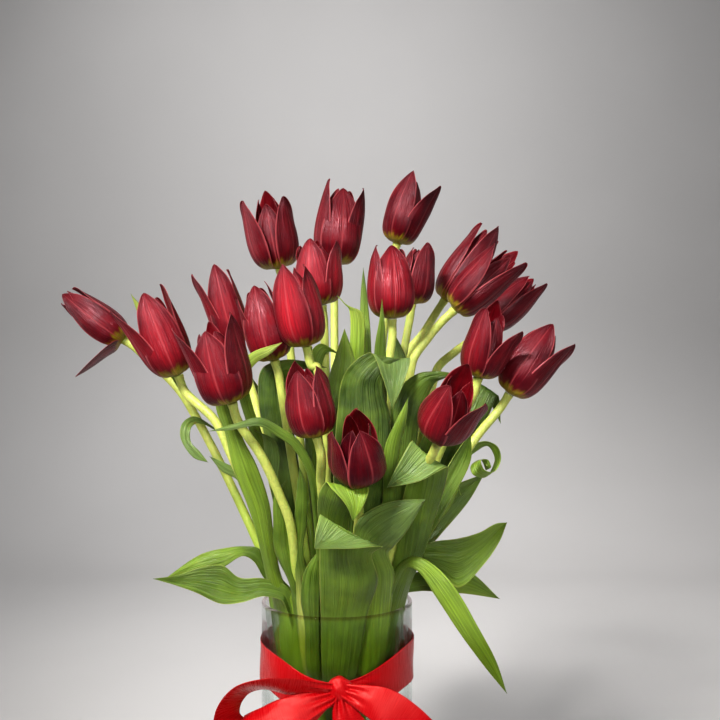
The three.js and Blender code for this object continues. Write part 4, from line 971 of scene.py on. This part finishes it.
def stamen_tree():
    """A ring of stamens: thin filaments that lean outward, each with a long anther."""
    tree = Tree("Ring of stamens", (
        ("Count", "NodeSocketInt"), ("Ring Radius", "NodeSocketFloat"), ("Filament", "NodeSocketFloat"),
        ("Anther", "NodeSocketFloat"), ("Lean", "NodeSocketFloat"), ("Material", "NodeSocketMaterial")))
    given = tree.given
    rod = tree.add("GeometryNodeMeshCone", Vertices=8, Radius_Top=0.5 * MM, Radius_Bottom=0.9 * MM,
                   Depth=given["Filament"])
    pod = tree.add("GeometryNodeMeshUVSphere", Segments=10, Rings=8, Radius=1.0)
    slim, long = (tree.math("MULTIPLY", given["Anther"], share) for share in (0.18, 0.5))
    stretch = tree.add("ShaderNodeCombineXYZ", X=slim, Y=slim, Z=long)
    lift = tree.add("ShaderNodeCombineXYZ", Z=tree.math("ADD", given["Filament"], long))
    pod_placed = tree.add("GeometryNodeTransform", Geometry=pod.outputs["Mesh"],
                          Translation=lift.outputs[0], Scale=stretch.outputs[0])
    stamen = tree.add("GeometryNodeJoinGeometry")
    for part in (pod_placed.outputs["Geometry"], rod.outputs["Mesh"]):
        tree.put(stamen.inputs[0], part)
    circle = tree.add("GeometryNodeMeshCircle", Vertices=given["Count"], Radius=given["Ring Radius"])
    outward = tree.add("GeometryNodeInputPosition")
    turned = tree.add("FunctionNodeAlignRotationToVector", {"axis": "X"}, Vector=outward.outputs[0])
    leaning = tree.add("ShaderNodeCombineXYZ", Y=given["Lean"])
    as_rotation = tree.add("FunctionNodeEulerToRotation", Euler=leaning.outputs[0])
    both = tree.add("FunctionNodeRotateRotation", {"rotation_space": "LOCAL"}, Rotation=turned.outputs[0],
                    Rotate_By=as_rotation.outputs[0])
    placed = tree.add("GeometryNodeInstanceOnPoints", Points=circle.outputs["Mesh"],
                      Instance=stamen.outputs[0], Rotation=both.outputs[0])
    tree.end(placed.outputs[0])
    return tree


# ---- vase and water ----------------------------------------------------------------------------

GLASS_SIDES = 144
FOOT_ROUND, RIM_ROUND, INNER_ROUND = 3, 1.5, 4
INTO_GLASS = 0.15  # the water meets the glass with no gap that light could catch
MENISCUS = ((0, 0), (1.2, 1.0), (3, 1.4))  # (inward, down) from the water's line on the glass
STILL_WATER = 1.5  # how far its flat middle lies below that line


def inside_vase():
    """The inside radius and the height of the glass, in millimetres."""
    size = sizes()
    return (size.vase_radius - size.vase_wall) / MM, size.vase_height / MM


def make_turned(name, profile, material, node):
    """One piece turned about the vase's axis."""
    body = Body()
    body.add(*lathe_grid(profile, GLASS_SIDES))
    return body.make(name, [material], node)


def make_vase():
    glass_material()
    outer = sizes().vase_radius / MM
    inner, top = inside_vase()
    outline = [(0, 0), (outer, 0), (outer, top), (inner, top), (inner, FLOOR), (0, FLOOR)]
    profile = rounded(outline, (FOOT_ROUND, RIM_ROUND, RIM_ROUND, INNER_ROUND))
    make_turned("vase_glass", profile, "Clear glass", "vase")


def make_water():
    water_material()
    radius = inside_vase()[0] + INTO_GLASS
    level, bottom = sizes().water_level / MM, FLOOR - INTO_GLASS
    profile = rounded([(0, bottom), (radius, bottom), (radius, level)], INNER_ROUND)[:-1]
    profile += [(radius - inward, level - down) for inward, down in MENISCUS] + [(0, level - STILL_WATER)]
    make_turned("vase_water", profile, "Water", "water")


# ---- ribbon ------------------------------------------------------------------------------------

BAND_CENTRE = 155.5  # the height of its middle at the sides
BAND_DIP, BAND_TILT, BAND_RISE = 18.5, 0.5, 3  # how far it dips to the bow, leans aside, and rises behind
BAND_OFF = 0.4  # the air between the glass and the ribbon
BAND_SIDES, RIBBON_COLUMNS, STRIP_ROWS = 360, 25, 16
BAND_KNOTTED = 0.55  # what is left of the band's width at its knot
BAND_PLEAT, BAND_RIPPLE = 0.9, 0.8  # how far it waves by the knot, and all round
KNOT_CENTRE = np.array((3, -67.3, 150))
KNOT_SIZE = np.array((18, 11, 18))
KNOT_ROWS, KNOT_COLUMNS = 40, 64
GATHERED = 30  # the run over which the band narrows to its knot
LEAST_SHARE = 0.27  # what is left at least of a loop's or tail's width
PLEAT, FOLD, CURL = 1.5, 1.2, 1.3  # how far it waves where gathered, where free, and at its edges


def ribbon_grain(run, across):
    """Grain of a ribbon: across it, along it and none in depth."""
    run, across = np.broadcast_arrays(run, across)
    return np.stack([across, run, np.zeros_like(run)], axis=-1)


def ribbon_size():
    """The ribbon's width and thickness in millimetres."""
    return sizes().ribbon_width / MM, sizes().ribbon_thickness / MM


def make_band():
    """The band round the glass, which dips in front to its knot."""
    width, thick = ribbon_size()
    radius = sizes().vase_radius / MM + BAND_OFF + thick / 2
    turns = (np.arange(BAND_SIDES) / BAND_SIDES * 2 * pi)[:, None]
    across = np.linspace(-1, 1, RIBBON_COLUMNS)[None, :]
    front, back = np.maximum(0, -np.sin(turns)), np.maximum(0, np.sin(turns))
    centre = BAND_CENTRE + BAND_TILT * np.cos(turns) + BAND_RISE * back - BAND_DIP * front ** 4
    knot_turn = atan2(KNOT_CENTRE[1], KNOT_CENTRE[0]) % (2 * pi)
    from_knot = radius * np.abs(turns - knot_turn)
    share = BAND_KNOTTED + (1 - BAND_KNOTTED) * smooth(from_knot / GATHERED)
    pleat = (1 - smooth(from_knot / (GATHERED * 1.4))) * BAND_PLEAT
    height = centre + width / 2 - width * share * (1 - across) / 2
    out = radius + pleat * (1 + np.sin(across * 3.4 * pi + turns * 3)) / 2
    out = out + BAND_RIPPLE * (1 + np.sin(turns * 7 + across * 2.2 + 0.8 * np.sin(turns * 3))) / 2
    height = np.broadcast_to(height, out.shape)
    middle = np.stack([out * np.cos(turns), out * np.sin(turns), height], axis=-1)
    grain = ribbon_grain(turns * radius, across * width / 2)
    body = Body()
    body.add_blade(middle[:, ::-1], thick / 2, 0, grain, across[:, ::-1], turns / (2 * pi), (WHITE, WHITE),
                   closed=True)
    piece = body.make("ribbon_round_glass", ["Red satin"], "ribbon_band")


def make_strip(name, run, seed):
    """A loop or tail of the bow, pleated where it is gathered, and its flat size."""
    rng = random.Random(seed)
    width, thick = ribbon_size()
    places = np.array([(*seen(place), place[3], place[4]) for place in run])
    course = along(places, np.linspace(0, len(run) - 1, STRIP_ROWS * (len(run) - 1) + 1))
    middle, lean, share = course[:, :3], np.radians(course[:, 3:4]), np.clip(course[:, 4:5], LEAST_SHARE, 1)
    ahead = unit(np.gradient(middle, axis=0))
    depth = np.array((0.0, 1.0, 0.0))
    depth = unit(depth - ahead * ahead[:, 1:2])
    level = np.cross(ahead, depth)
    wide = depth * np.cos(lean) + level * np.sin(lean)
    flat = np.cross(ahead, wide)
    across = np.linspace(-1, 1, RIBBON_COLUMNS)[None, :, None]
    length = np.linalg.norm(np.diff(middle, axis=0), axis=1)
    distance = np.concatenate([[0], np.cumsum(length)])[:, None, None]
    gathered = 1 - smooth((share - 0.3) / 0.5)[:, None]
    phase = rng.uniform(0, 2 * pi)
    pleat = gathered * PLEAT * np.sin(across * 2.6 * pi + phase + distance * 0.03)
    fold = smooth((share - 0.4) / 0.45)[:, None] * FOLD * np.sin(across * 1.9 + distance * 0.07 + phase)
    curl = CURL * across ** 2 * (1 - 0.6 * gathered)
    grid = (middle[:, None] + wide[:, None] * across * share[:, None] * width / 2
            + flat[:, None] * (pleat + fold - curl))
    across, distance = across[..., 0], distance[..., 0]
    total = distance[-1, 0]
    grain = ribbon_grain(distance, across * width / 2)
    body = Body()
    body.add_blade(grid, thick / 2, 0, grain, across, distance / total, (WHITE, WHITE))
    piece = body.make(f"satin_{name}", ["Red satin"], name)
    return piece, (sizes().ribbon_width, float(total) * MM)


def make_knot():
    """The knot: a short wrap of ribbon with upright folds, pinched at its top and bottom."""
    up = np.linspace(-pi / 2, pi / 2, KNOT_ROWS)[:, None]
    turn = (np.arange(KNOT_COLUMNS) / KNOT_COLUMNS * 2 * pi)[None, :]
    folds = 1 + 0.1 * np.abs(np.sin(turn * 4.5 + up * 2.2)) * np.cos(up) + 0.07 * np.sin(turn * 3 + up * 3.1)
    folds = folds - 0.05 * np.abs(np.cos(turn * 2.5 - up * 1.7))
    side = np.cos(up) ** 0.7 * folds
    x, y, z = KNOT_SIZE / 2
    points = np.stack([x * side * np.cos(turn), y * side * np.sin(turn),
                       z * np.sin(up) * (1 - 0.06 * np.cos(turn * 2))], axis=-1) + KNOT_CENTRE
    body = Body()
    body.add(points.reshape(-1, 3), ring_faces(KNOT_ROWS, KNOT_COLUMNS), 0,
             ribbon_grain(turn * x, up * z).reshape(-1, 3))
    return body.make("satin_knot", ["Red satin"], "bow_knot")


def make_bow():
    knot = make_knot()
    for seed, (name, run) in enumerate(BOW.items()):
        piece, flat = make_strip(name, run, seed)


# ---- blooms ------------------------------------------------------------------------------------

PETAL_ROWS, PETAL_COLUMNS = 30, 25
PETAL_POINT = 0.2  # what its tip loses of its width
# Painted shade: how much a petal's colour darkens towards both edges, where it curves away from the light.
PETAL_EDGE_SHADE = 0.55  # what its colour loses at both edges
YELLOW_TO, YELLOW_FADE = 0.045, 0.06  # where its yellow foot ends, and fades, along its length
RIB_DEPTH, RIDGE, FINE_RIDGE = 0.5, 0.22, 0.08  # how far its face waves
EDGE_RIPPLE, SWAY = 1.1, 1.2  # how far its edges wave and its tip stands aside
OVARY = ((0, 0), (4.5, 0), (6, 2.5), (3.4, 5), (2.6, 9), (2.4, 17), (4.2, 19.5), (2.6, 21), (0, 20))
OVARY_SIDES, STIGMA_LOBE = 24, 0.28
STAMENS, STAMEN_RING, STAMEN_FOOT = 6, 5.2, 6  # how many, how far from the axis, and how far up it
FILAMENT, STAMEN_LEAN = 9, 0.12  # its length, and its lean in radians


def petal_radius(girth, spread, v):
    """How far from the axis a petal's middle runs, v from its foot to its tip."""
    belly = girth - PETAL_INSET - 0.16 * min(spread, 10)
    return PETAL_SEAT * girth * (1 - v) + spread * v ** 2 + belly * np.sin(pi * v ** 0.6).clip(0, 1) ** 0.8


def petal_width(v):
    """The share of its half width that a petal has at v."""
    return np.sin(pi * (0.0001 + 0.9999 * v) ** 0.62).clip(0, 1) ** 0.6


def petal_tones(flower, depth, u, v, rng):
    """The outer and inner face's colours: yellow at the base, redder and lighter in the light.

    depth darkens the petals that lie under others, as painted shade, and both edges of every petal are
    darkened as painted shade where it curves away from the light.
    """
    hue = colours()
    wine, glow, inside, base = (
        np.array(colour) for colour in (hue.petal, hue.petal_painted_light, hue.petal_inside, hue.petal_base))
    # Painted light: the lit red, strongest on the middle of each petal's face and of its length.
    lit = flower.glow * rng.uniform(0.8, 1.2) * (0.3 + 0.7 * np.cos(u * 1.5))
    lit = np.clip(lit * np.sin(pi * v.clip(0.05, 0.95)) ** 0.5, 0, 1)[..., None]
    # Painted shade: darker towards both edges, and darker for the petals lying under others.
    edge = PETAL_EDGE_SHADE * np.abs(u[..., None]) ** 2.5
    outer = (wine * (1 - lit) + glow * lit) * (1 - edge) * depth
    inner = wine * 0.35 + inside * 0.65
    ragged = 0.02 * np.sin(u * 7 + rng.uniform(0, 6)) + 0.015 * np.sin(u * 17 + rng.uniform(0, 6))
    foot = (1 - smooth((v - YELLOW_TO - ragged) / YELLOW_FADE))[..., None]
    return outer * (1 - foot) + base * foot, inner * (1 - foot) + base * foot


def add_petal(body, flower, index, rng):
    """Adds a cupped petal: part of a tube about a line beside the bloom's axis, waved and ribbed."""
    turn, reach, spread = flower.petals[index]
    base, length, axis, front, right = bloom_frame(flower)
    length = length * reach
    angle = radians(turn)
    out = front * cos(angle) + right * sin(angle)
    side = np.cross(axis, out)
    nest = NEST[index]
    girth = flower.girth * nest
    half_width = PETAL_HALF_WIDTH * (flower.girth / USUAL_GIRTH) * nest
    curve = girth * PETAL_ROUNDNESS
    steps = np.linspace(0, 1, PETAL_ROWS)[:, None]
    v = 0.4 * steps + 0.6 * (0.5 - 0.5 * np.cos(pi * steps))
    u = np.linspace(-1, 1, PETAL_COLUMNS)[None, :]
    u = np.sign(u) * np.abs(u) ** 0.85
    phase = [rng.uniform(0, 2 * pi) for _ in range(4)]
    swell = np.sin(pi * v) ** 0.7
    rib = -RIB_DEPTH * np.exp(-(u / 0.1) ** 2) * swell
    ridges = (RIDGE * np.sin(u * 6 + phase[0]) + FINE_RIDGE * np.sin(u * 17 + phase[1])) * swell
    ripple = EDGE_RIPPLE * np.sin(v * 9 + phase[2] + 1.5 * u) * np.abs(u) ** 3 * v
    roll = rng.uniform(-0.3, 0.9) * u ** 4 * smooth((v - 0.35) / 0.5)
    proud = curve + rib + ridges + ripple + roll
    sway = rng.uniform(-SWAY, SWAY) * v ** 2 * np.sin(pi * v * 0.9)
    radius = petal_radius(girth, spread, v)
    bend = u * half_width * petal_width(v) * (1 - PETAL_POINT * smooth((v - 0.8) / 0.2)) / curve
    middle = (base + axis * (length * v + PETAL_SUNK)[..., None]
              + out * (radius - curve + proud * np.cos(bend))[..., None]
              + side * (proud * np.sin(bend) + sway)[..., None])
    half = sizes().petal_thickness / MM / 2 * (1 - 0.7 * u ** 2) * (1 - 0.4 * v)
    own = np.full_like(v, rng.uniform(0, 900))
    grain = np.stack(np.broadcast_arrays(u * half_width, v * length, own), axis=-1)
    body.add_blade(middle, half, 0, grain, u, v, petal_tones(flower, nest, u, v, rng))


def add_pistil(body, flower):
    """The bloom's base, its ovary and the three-lobed stigma on top."""
    base, _, axis, front, right = bloom_frame(flower)
    points, faces = lathe_grid(rounded(OVARY, 1.5, 3), OVARY_SIDES)
    turn = np.arctan2(points[:, 1], points[:, 0])
    lobes = 1 + STIGMA_LOBE * np.cos(3 * turn) * smooth((points[:, 2] - 6) / 12)
    points[:, :2] *= lobes[:, None]
    placed = base + points[:, :1] * right + points[:, 1:2] * front + points[:, 2:] * axis
    yellow, green = np.array(colours().petal_base), np.array(colours().leaf_bright)
    top = smooth(points[:, 2:] / 12)
    body.add(placed, faces[:, ::-1], 1, points, NO_SHAPE, yellow * (1 - top) + green * top)


def make_bloom(index, flower, stamens):
    """One bloom: its petals, its pistil and the ring of stamens."""
    rng = random.Random(100 + index)
    body = Body()
    for petal in range(len(flower.petals)):
        add_petal(body, flower, petal, rng)
    add_pistil(body, flower)
    base, _, axis, front, right = bloom_frame(flower)

    def place(points):
        points = points / MM
        return base + points[:, :1] * front + points[:, 1:2] * right + (points[:, 2:] + STAMEN_FOOT) * axis

    body.add_mesh(stamens, place, 2, colours().anther[:])
    body.make(f"tulip_bloom_{index:02d}", ["Petal", "Pistil", "Stamen"], f"bloom_{index:02d}")


def make_blooms():
    petal_material()
    plain_material("Pistil", 0.45, 200.0, 0.6)
    plain_material("Stamen", 0.8, 900.0, 0.8)
    ring = stamen_tree().run(
        bpy.data.meshes.new("stamens"), Count=STAMENS, Ring_Radius=STAMEN_RING * MM, Filament=FILAMENT * MM,
        Anther=sizes().anther_length, Lean=STAMEN_LEAN, Material=bpy.data.materials["Stamen"])
    for index, flower in enumerate(FLOWERS, 1):
        make_bloom(index, flower, ring)


# ---- leafy stems -------------------------------------------------------------------------------

STEM_STEP, STEM_SIDES = 0.08, 16  # one place's share of a span of its path, and its sides
NECK_SWELLING, SWELLING_SPAN = 0.5, 0.35  # how much it swells below the bloom, and over what share
STEM_TONES = "mbbyy"  # from its foot to its neck
LEAF_COLUMNS, LEAF_ROWS_PER_PLACE = 17, 10
EDGE_WAVE, KEEL = 0.9, 0.35  # how far a leaf's edges wave and its midrib sinks


def stem_line(path):
    """The path's fine points and how thick the stem is at each."""
    spans = len(path) - 1
    stops = np.linspace(0, spans, int(spans / STEM_STEP) + 1)
    thick = STEM_FOOT + (STEM_NECK - STEM_FOOT) * stops / spans
    swelling = smooth((stops - spans + SWELLING_SPAN) / SWELLING_SPAN) * NECK_SWELLING
    return along(path, stops), thick + swelling


def add_stem(body, path, tree):
    """Adds the stem, with grain that runs round and up it, and tones from its foot to its neck."""
    points, thick = stem_line(path)
    base = bpy.data.meshes.new("stem path")
    base.from_pydata((points * MM).tolist(), [(i, i + 1) for i in range(len(points) - 1)], [])
    base.attributes.new("Thick", "FLOAT", "POINT").data.foreach_set("value", (thick * MM).tolist())
    mesh = tree.run(base, Sides=STEM_SIDES, Material=bpy.data.materials["Stem"])
    body.add_mesh(mesh, lambda p: p / MM, 1, WHITE)
    skin = body.points[-1]
    heights = skin[:, 2]
    body.tone[-1] = tones_along(STEM_TONES, np.clip((heights - heights.min()) / np.ptp(heights), 0, 1))
    centres = points[::6]
    nearest = centres[np.linalg.norm(skin[:, None] - centres[None], axis=2).argmin(axis=1)]
    round_it = unit(skin - nearest) * STEM_FOOT
    body.grain[-1] = np.column_stack([round_it[:, 0], heights, round_it[:, 1]])


def path_at_height(path, height):
    """Where the path first reaches the height."""
    points = along(path, np.arange(0, len(path) - 1, 0.02))
    above = np.nonzero(points[:, 2] >= height)[0]
    return points[above[0]] if len(above) else path[-1]


def bow_shares(middles):
    """How much of its bow a leaf keeps at each place: little where it folds back on itself."""
    steps = unit(np.diff(middles, axis=0))
    kept = (1 + (steps[:-1] * steps[1:]).sum(axis=1)) / 2
    return np.concatenate([[0], kept, kept[-1:]])


def add_leaf(body, leaf, path, rng):
    """Adds a leaf between its two edges, from its stem to its tip."""
    root = path_at_height(path, leaf.root)
    reach = np.array((LEAF_ROOT / 2, 0, 0))
    left, right = [root - reach], [root + reach]
    for left_across, left_up, right_across, right_up, depth, skew in leaf.edges:
        left.append(seen((left_across, left_up, depth)))
        right.append(seen((right_across, right_up, depth + skew)))
    left, right = np.array(left + [seen(leaf.tip)]), np.array(right + [seen(leaf.tip)])
    spans = len(left) - 1
    stops = np.linspace(0, spans, spans * LEAF_ROWS_PER_PLACE + 1)
    low, high = along(left, stops), along(right, stops)
    middle = (low + high) / 2
    across = high - low
    width = np.linalg.norm(across, axis=1)[:, None]
    proud = unit(np.cross(across, np.gradient(middle, axis=0)))
    proud[-1] = proud[-2]
    length = np.concatenate([[0], np.cumsum(np.linalg.norm(np.diff(middle, axis=0), axis=1))])[:, None]
    u = np.linspace(-1, 1, LEAF_COLUMNS)[None, :]
    kept = np.interp(stops, range(spans + 1), bow_shares((left + right) / 2))[:, None]
    bow = leaf.bow * np.minimum(1, width / FULL_BOW_WIDTH) * kept
    wave = np.sin(length * 0.12 + rng.uniform(0, 2 * pi) + (u > 0) * 1.9)
    ripple = EDGE_WAVE * wave * np.abs(u) ** 3 * np.minimum(1, width / 30)
    keel = -KEEL * np.exp(-(u / 0.12) ** 2) * np.minimum(1, width / 15)
    offset = bow * (1 - np.abs(u) ** 1.4) + ripple + keel
    grid = middle[:, None] + across[:, None] / 2 * u[..., None] + proud[:, None] * offset[..., None]
    half = sizes().leaf_thickness / MM / 2 * (1 - 0.75 * u ** 2)
    own = np.full_like(length, rng.uniform(0, 900))
    grain = np.stack(np.broadcast_arrays(u * width.max() / 2, length, own), axis=-1)
    share = stops / spans
    shade = rng.uniform(0.86, 1.12)
    # The front's tones carry painted light and shade as well as the leaf's colour.
    tones = [tones_along(letters, share)[:, None] * shade for letters in (leaf.front, leaf.back)]
    body.add_blade(grid, half, 0, grain, u, share[:, None], tones)


def make_leafy_stem(number, path, tree):
    """One stem with the leaves that grow from it."""
    rng = random.Random(500 + number)
    body = Body()
    add_stem(body, path, tree)
    for leaf in LEAVES:
        if leaf.on == number:
            add_leaf(body, leaf, path, rng)
    body.make(f"tulip_stem_{number:02d}", ["Leaf", "Stem"], f"leafy_stem_{number:02d}")


def make_leafy_stems():
    leaf_material()
    stem_material()
    tree = stem_tree()
    for number, path in enumerate(stem_paths(), 1):
        make_leafy_stem(number, path, tree)


# ---- studio ------------------------------------------------------------------------------------

BOUQUET = (0, 0, 0.35)
LIGHTS = {  # (place, aim, size, watts, spread, colour), in metres and degrees
    "key light": ((-0.75, -1.2, 1.55), BOUQUET, 0.45, 2.9, 40, (1, 0.98, 0.96)),
    "front light": ((0.25, -2.2, 0.75), (0, 0, 0.26), 0.7, 0.6, 22, WHITE),
    "left light": ((-1.2, 0.35, 0.5), BOUQUET, 1.1, 1.5, 100, WHITE),
    "right light": ((1.2, 0.2, 0.5), BOUQUET, 1.1, 1.0, 100, WHITE),
    "backdrop light": ((-0.2, 0.2, 1.5), (0.1, 1.5, 0.45), 0.4, 8.0, 120, WHITE),
}
SKY = {"Color": (0.9, 0.92, 0.95, 1), "Strength": 0.09}
LENS, SENSOR = 50, 36  # in millimetres, as on the camera


def make_lights():
    for name, (place, aim, size, watts, spread, colour) in LIGHTS.items():
        light = bpy.data.lights.new(name, "AREA")
        light.shape, light.size, light.spread = "DISK", size, radians(spread)
        light.energy, light.color = watts, colour
        lamp = new_object(name, light)
        lamp.location = place
        lamp.rotation_mode = "QUATERNION"
        lamp.rotation_quaternion = (Vector(aim) - Vector(place)).to_track_quat("-Z", "Y")
    scene = bpy.context.scene
    scene.world = bpy.data.worlds.new("studio")
    scene.world.use_nodes = True
    for key, value in SKY.items():
        scene.world.node_tree.nodes["Background"].inputs[key].default_value = value
    scene.view_settings.view_transform = "Standard"
    scene.view_settings.look = "Medium High Contrast"


def make_backdrop():
    """One pale sheet: a floor that sweeps up into a wall behind."""
    paper_material()
    half_width, front, wall, height, bend = 3.0, -2.6, 1.5, 3.4, 0.5
    profile = [(front, 0.0), (wall - bend, 0.0)]
    profile += [(wall - bend + bend * sin(a), bend - bend * cos(a)) for a in np.linspace(0, pi / 2, 16)[1:]]
    profile.append((wall, height))
    points = [(x, y, z) for y, z in profile for x in (-half_width, half_width)]
    faces = [(2 * i, 2 * i + 1, 2 * i + 3, 2 * i + 2) for i in range(len(profile) - 1)]
    mesh = bpy.data.meshes.new("studio_backdrop")
    mesh.from_pydata(points, [], faces)
    mesh.materials.append(bpy.data.materials["Backdrop"])
    mesh.polygons.foreach_set("use_smooth", [True] * len(mesh.polygons))
    new_object("studio_backdrop", mesh)


def make_camera():
    data = bpy.data.cameras.new("camera")
    data.lens, data.sensor_width = LENS, SENSOR
    camera = new_object("camera", data)
    camera.location = Vector(EYE) * MM
    camera.rotation_euler = (pi / 2, 0, 0)
    bpy.context.scene.camera = camera


# ---- operators ---------------------------------------------------------------------------------

class TULIPS_OT_stage(bpy.types.Operator):
    """Set up the camera, the lights and the pale backdrop"""
    bl_idname = "tulips.stage"
    bl_label = "Set Up the Studio"

    def execute(self, context):
        make_camera()
        make_lights()
        make_backdrop()
        return {"FINISHED"}


class TULIPS_OT_vase(bpy.types.Operator):
    """Make the clear glass vase"""
    bl_idname = "tulips.vase"
    bl_label = "Make the Vase"

    def execute(self, context):
        make_vase()
        return {"FINISHED"}


class TULIPS_OT_water(bpy.types.Operator):
    """Fill the vase with water"""
    bl_idname = "tulips.water"
    bl_label = "Make the Water"

    def execute(self, context):
        make_water()
        return {"FINISHED"}


class TULIPS_OT_ribbon(bpy.types.Operator):
    """Tie the satin ribbon round the glass, with its knot, loops and tails"""
    bl_idname = "tulips.ribbon"
    bl_label = "Tie the Ribbon"

    def execute(self, context):
        satin_material()
        make_band()
        make_bow()
        return {"FINISHED"}


class TULIPS_OT_blooms(bpy.types.Operator):
    """Make the blooms, each with its petals, pistil and stamens"""
    bl_idname = "tulips.blooms"
    bl_label = "Make the Blooms"

    def execute(self, context):
        make_blooms()
        return {"FINISHED"}


class TULIPS_OT_leafy_stems(bpy.types.Operator):
    """Make the stems with their leaves"""
    bl_idname = "tulips.leafy_stems"
    bl_label = "Make the Leafy Stems"

    def execute(self, context):
        make_leafy_stems()
        return {"FINISHED"}


class TULIPS_PT_panel(bpy.types.Panel):
    """Lists the steps and the values they use"""
    bl_idname = "TULIPS_PT_panel"
    bl_label = "Tulips in a Vase"
    bl_space_type = "VIEW_3D"
    bl_region_type = "UI"
    bl_category = "Tulips"

    def draw(self, context):
        for operator in OPERATORS:
            self.layout.operator(operator.bl_idname)
        for group_of_values in (context.scene.tulip_sizes, context.scene.tulip_colours):
            box = self.layout.box()
            for name in group_of_values.__annotations__:
                box.prop(group_of_values, name)


OPERATORS = (TULIPS_OT_stage, TULIPS_OT_vase, TULIPS_OT_water, TULIPS_OT_ribbon, TULIPS_OT_blooms,
             TULIPS_OT_leafy_stems)
CLASSES = (TulipSizes, TulipColours, *OPERATORS, TULIPS_PT_panel)


def register():
    for each in CLASSES:
        bpy.utils.register_class(each)
    bpy.types.Scene.tulip_sizes = bpy.props.PointerProperty(type=TulipSizes)
    bpy.types.Scene.tulip_colours = bpy.props.PointerProperty(type=TulipColours)


def unregister():
    del bpy.types.Scene.tulip_colours
    del bpy.types.Scene.tulip_sizes
    for each in reversed(CLASSES):
        bpy.utils.unregister_class(each)


def main():
    register()
    bpy.ops.tulips.stage()
    bpy.ops.tulips.vase()
    bpy.ops.tulips.water()
    bpy.ops.tulips.ribbon()
    bpy.ops.tulips.blooms()
    bpy.ops.tulips.leafy_stems()


if __name__ == "__main__":
    main()
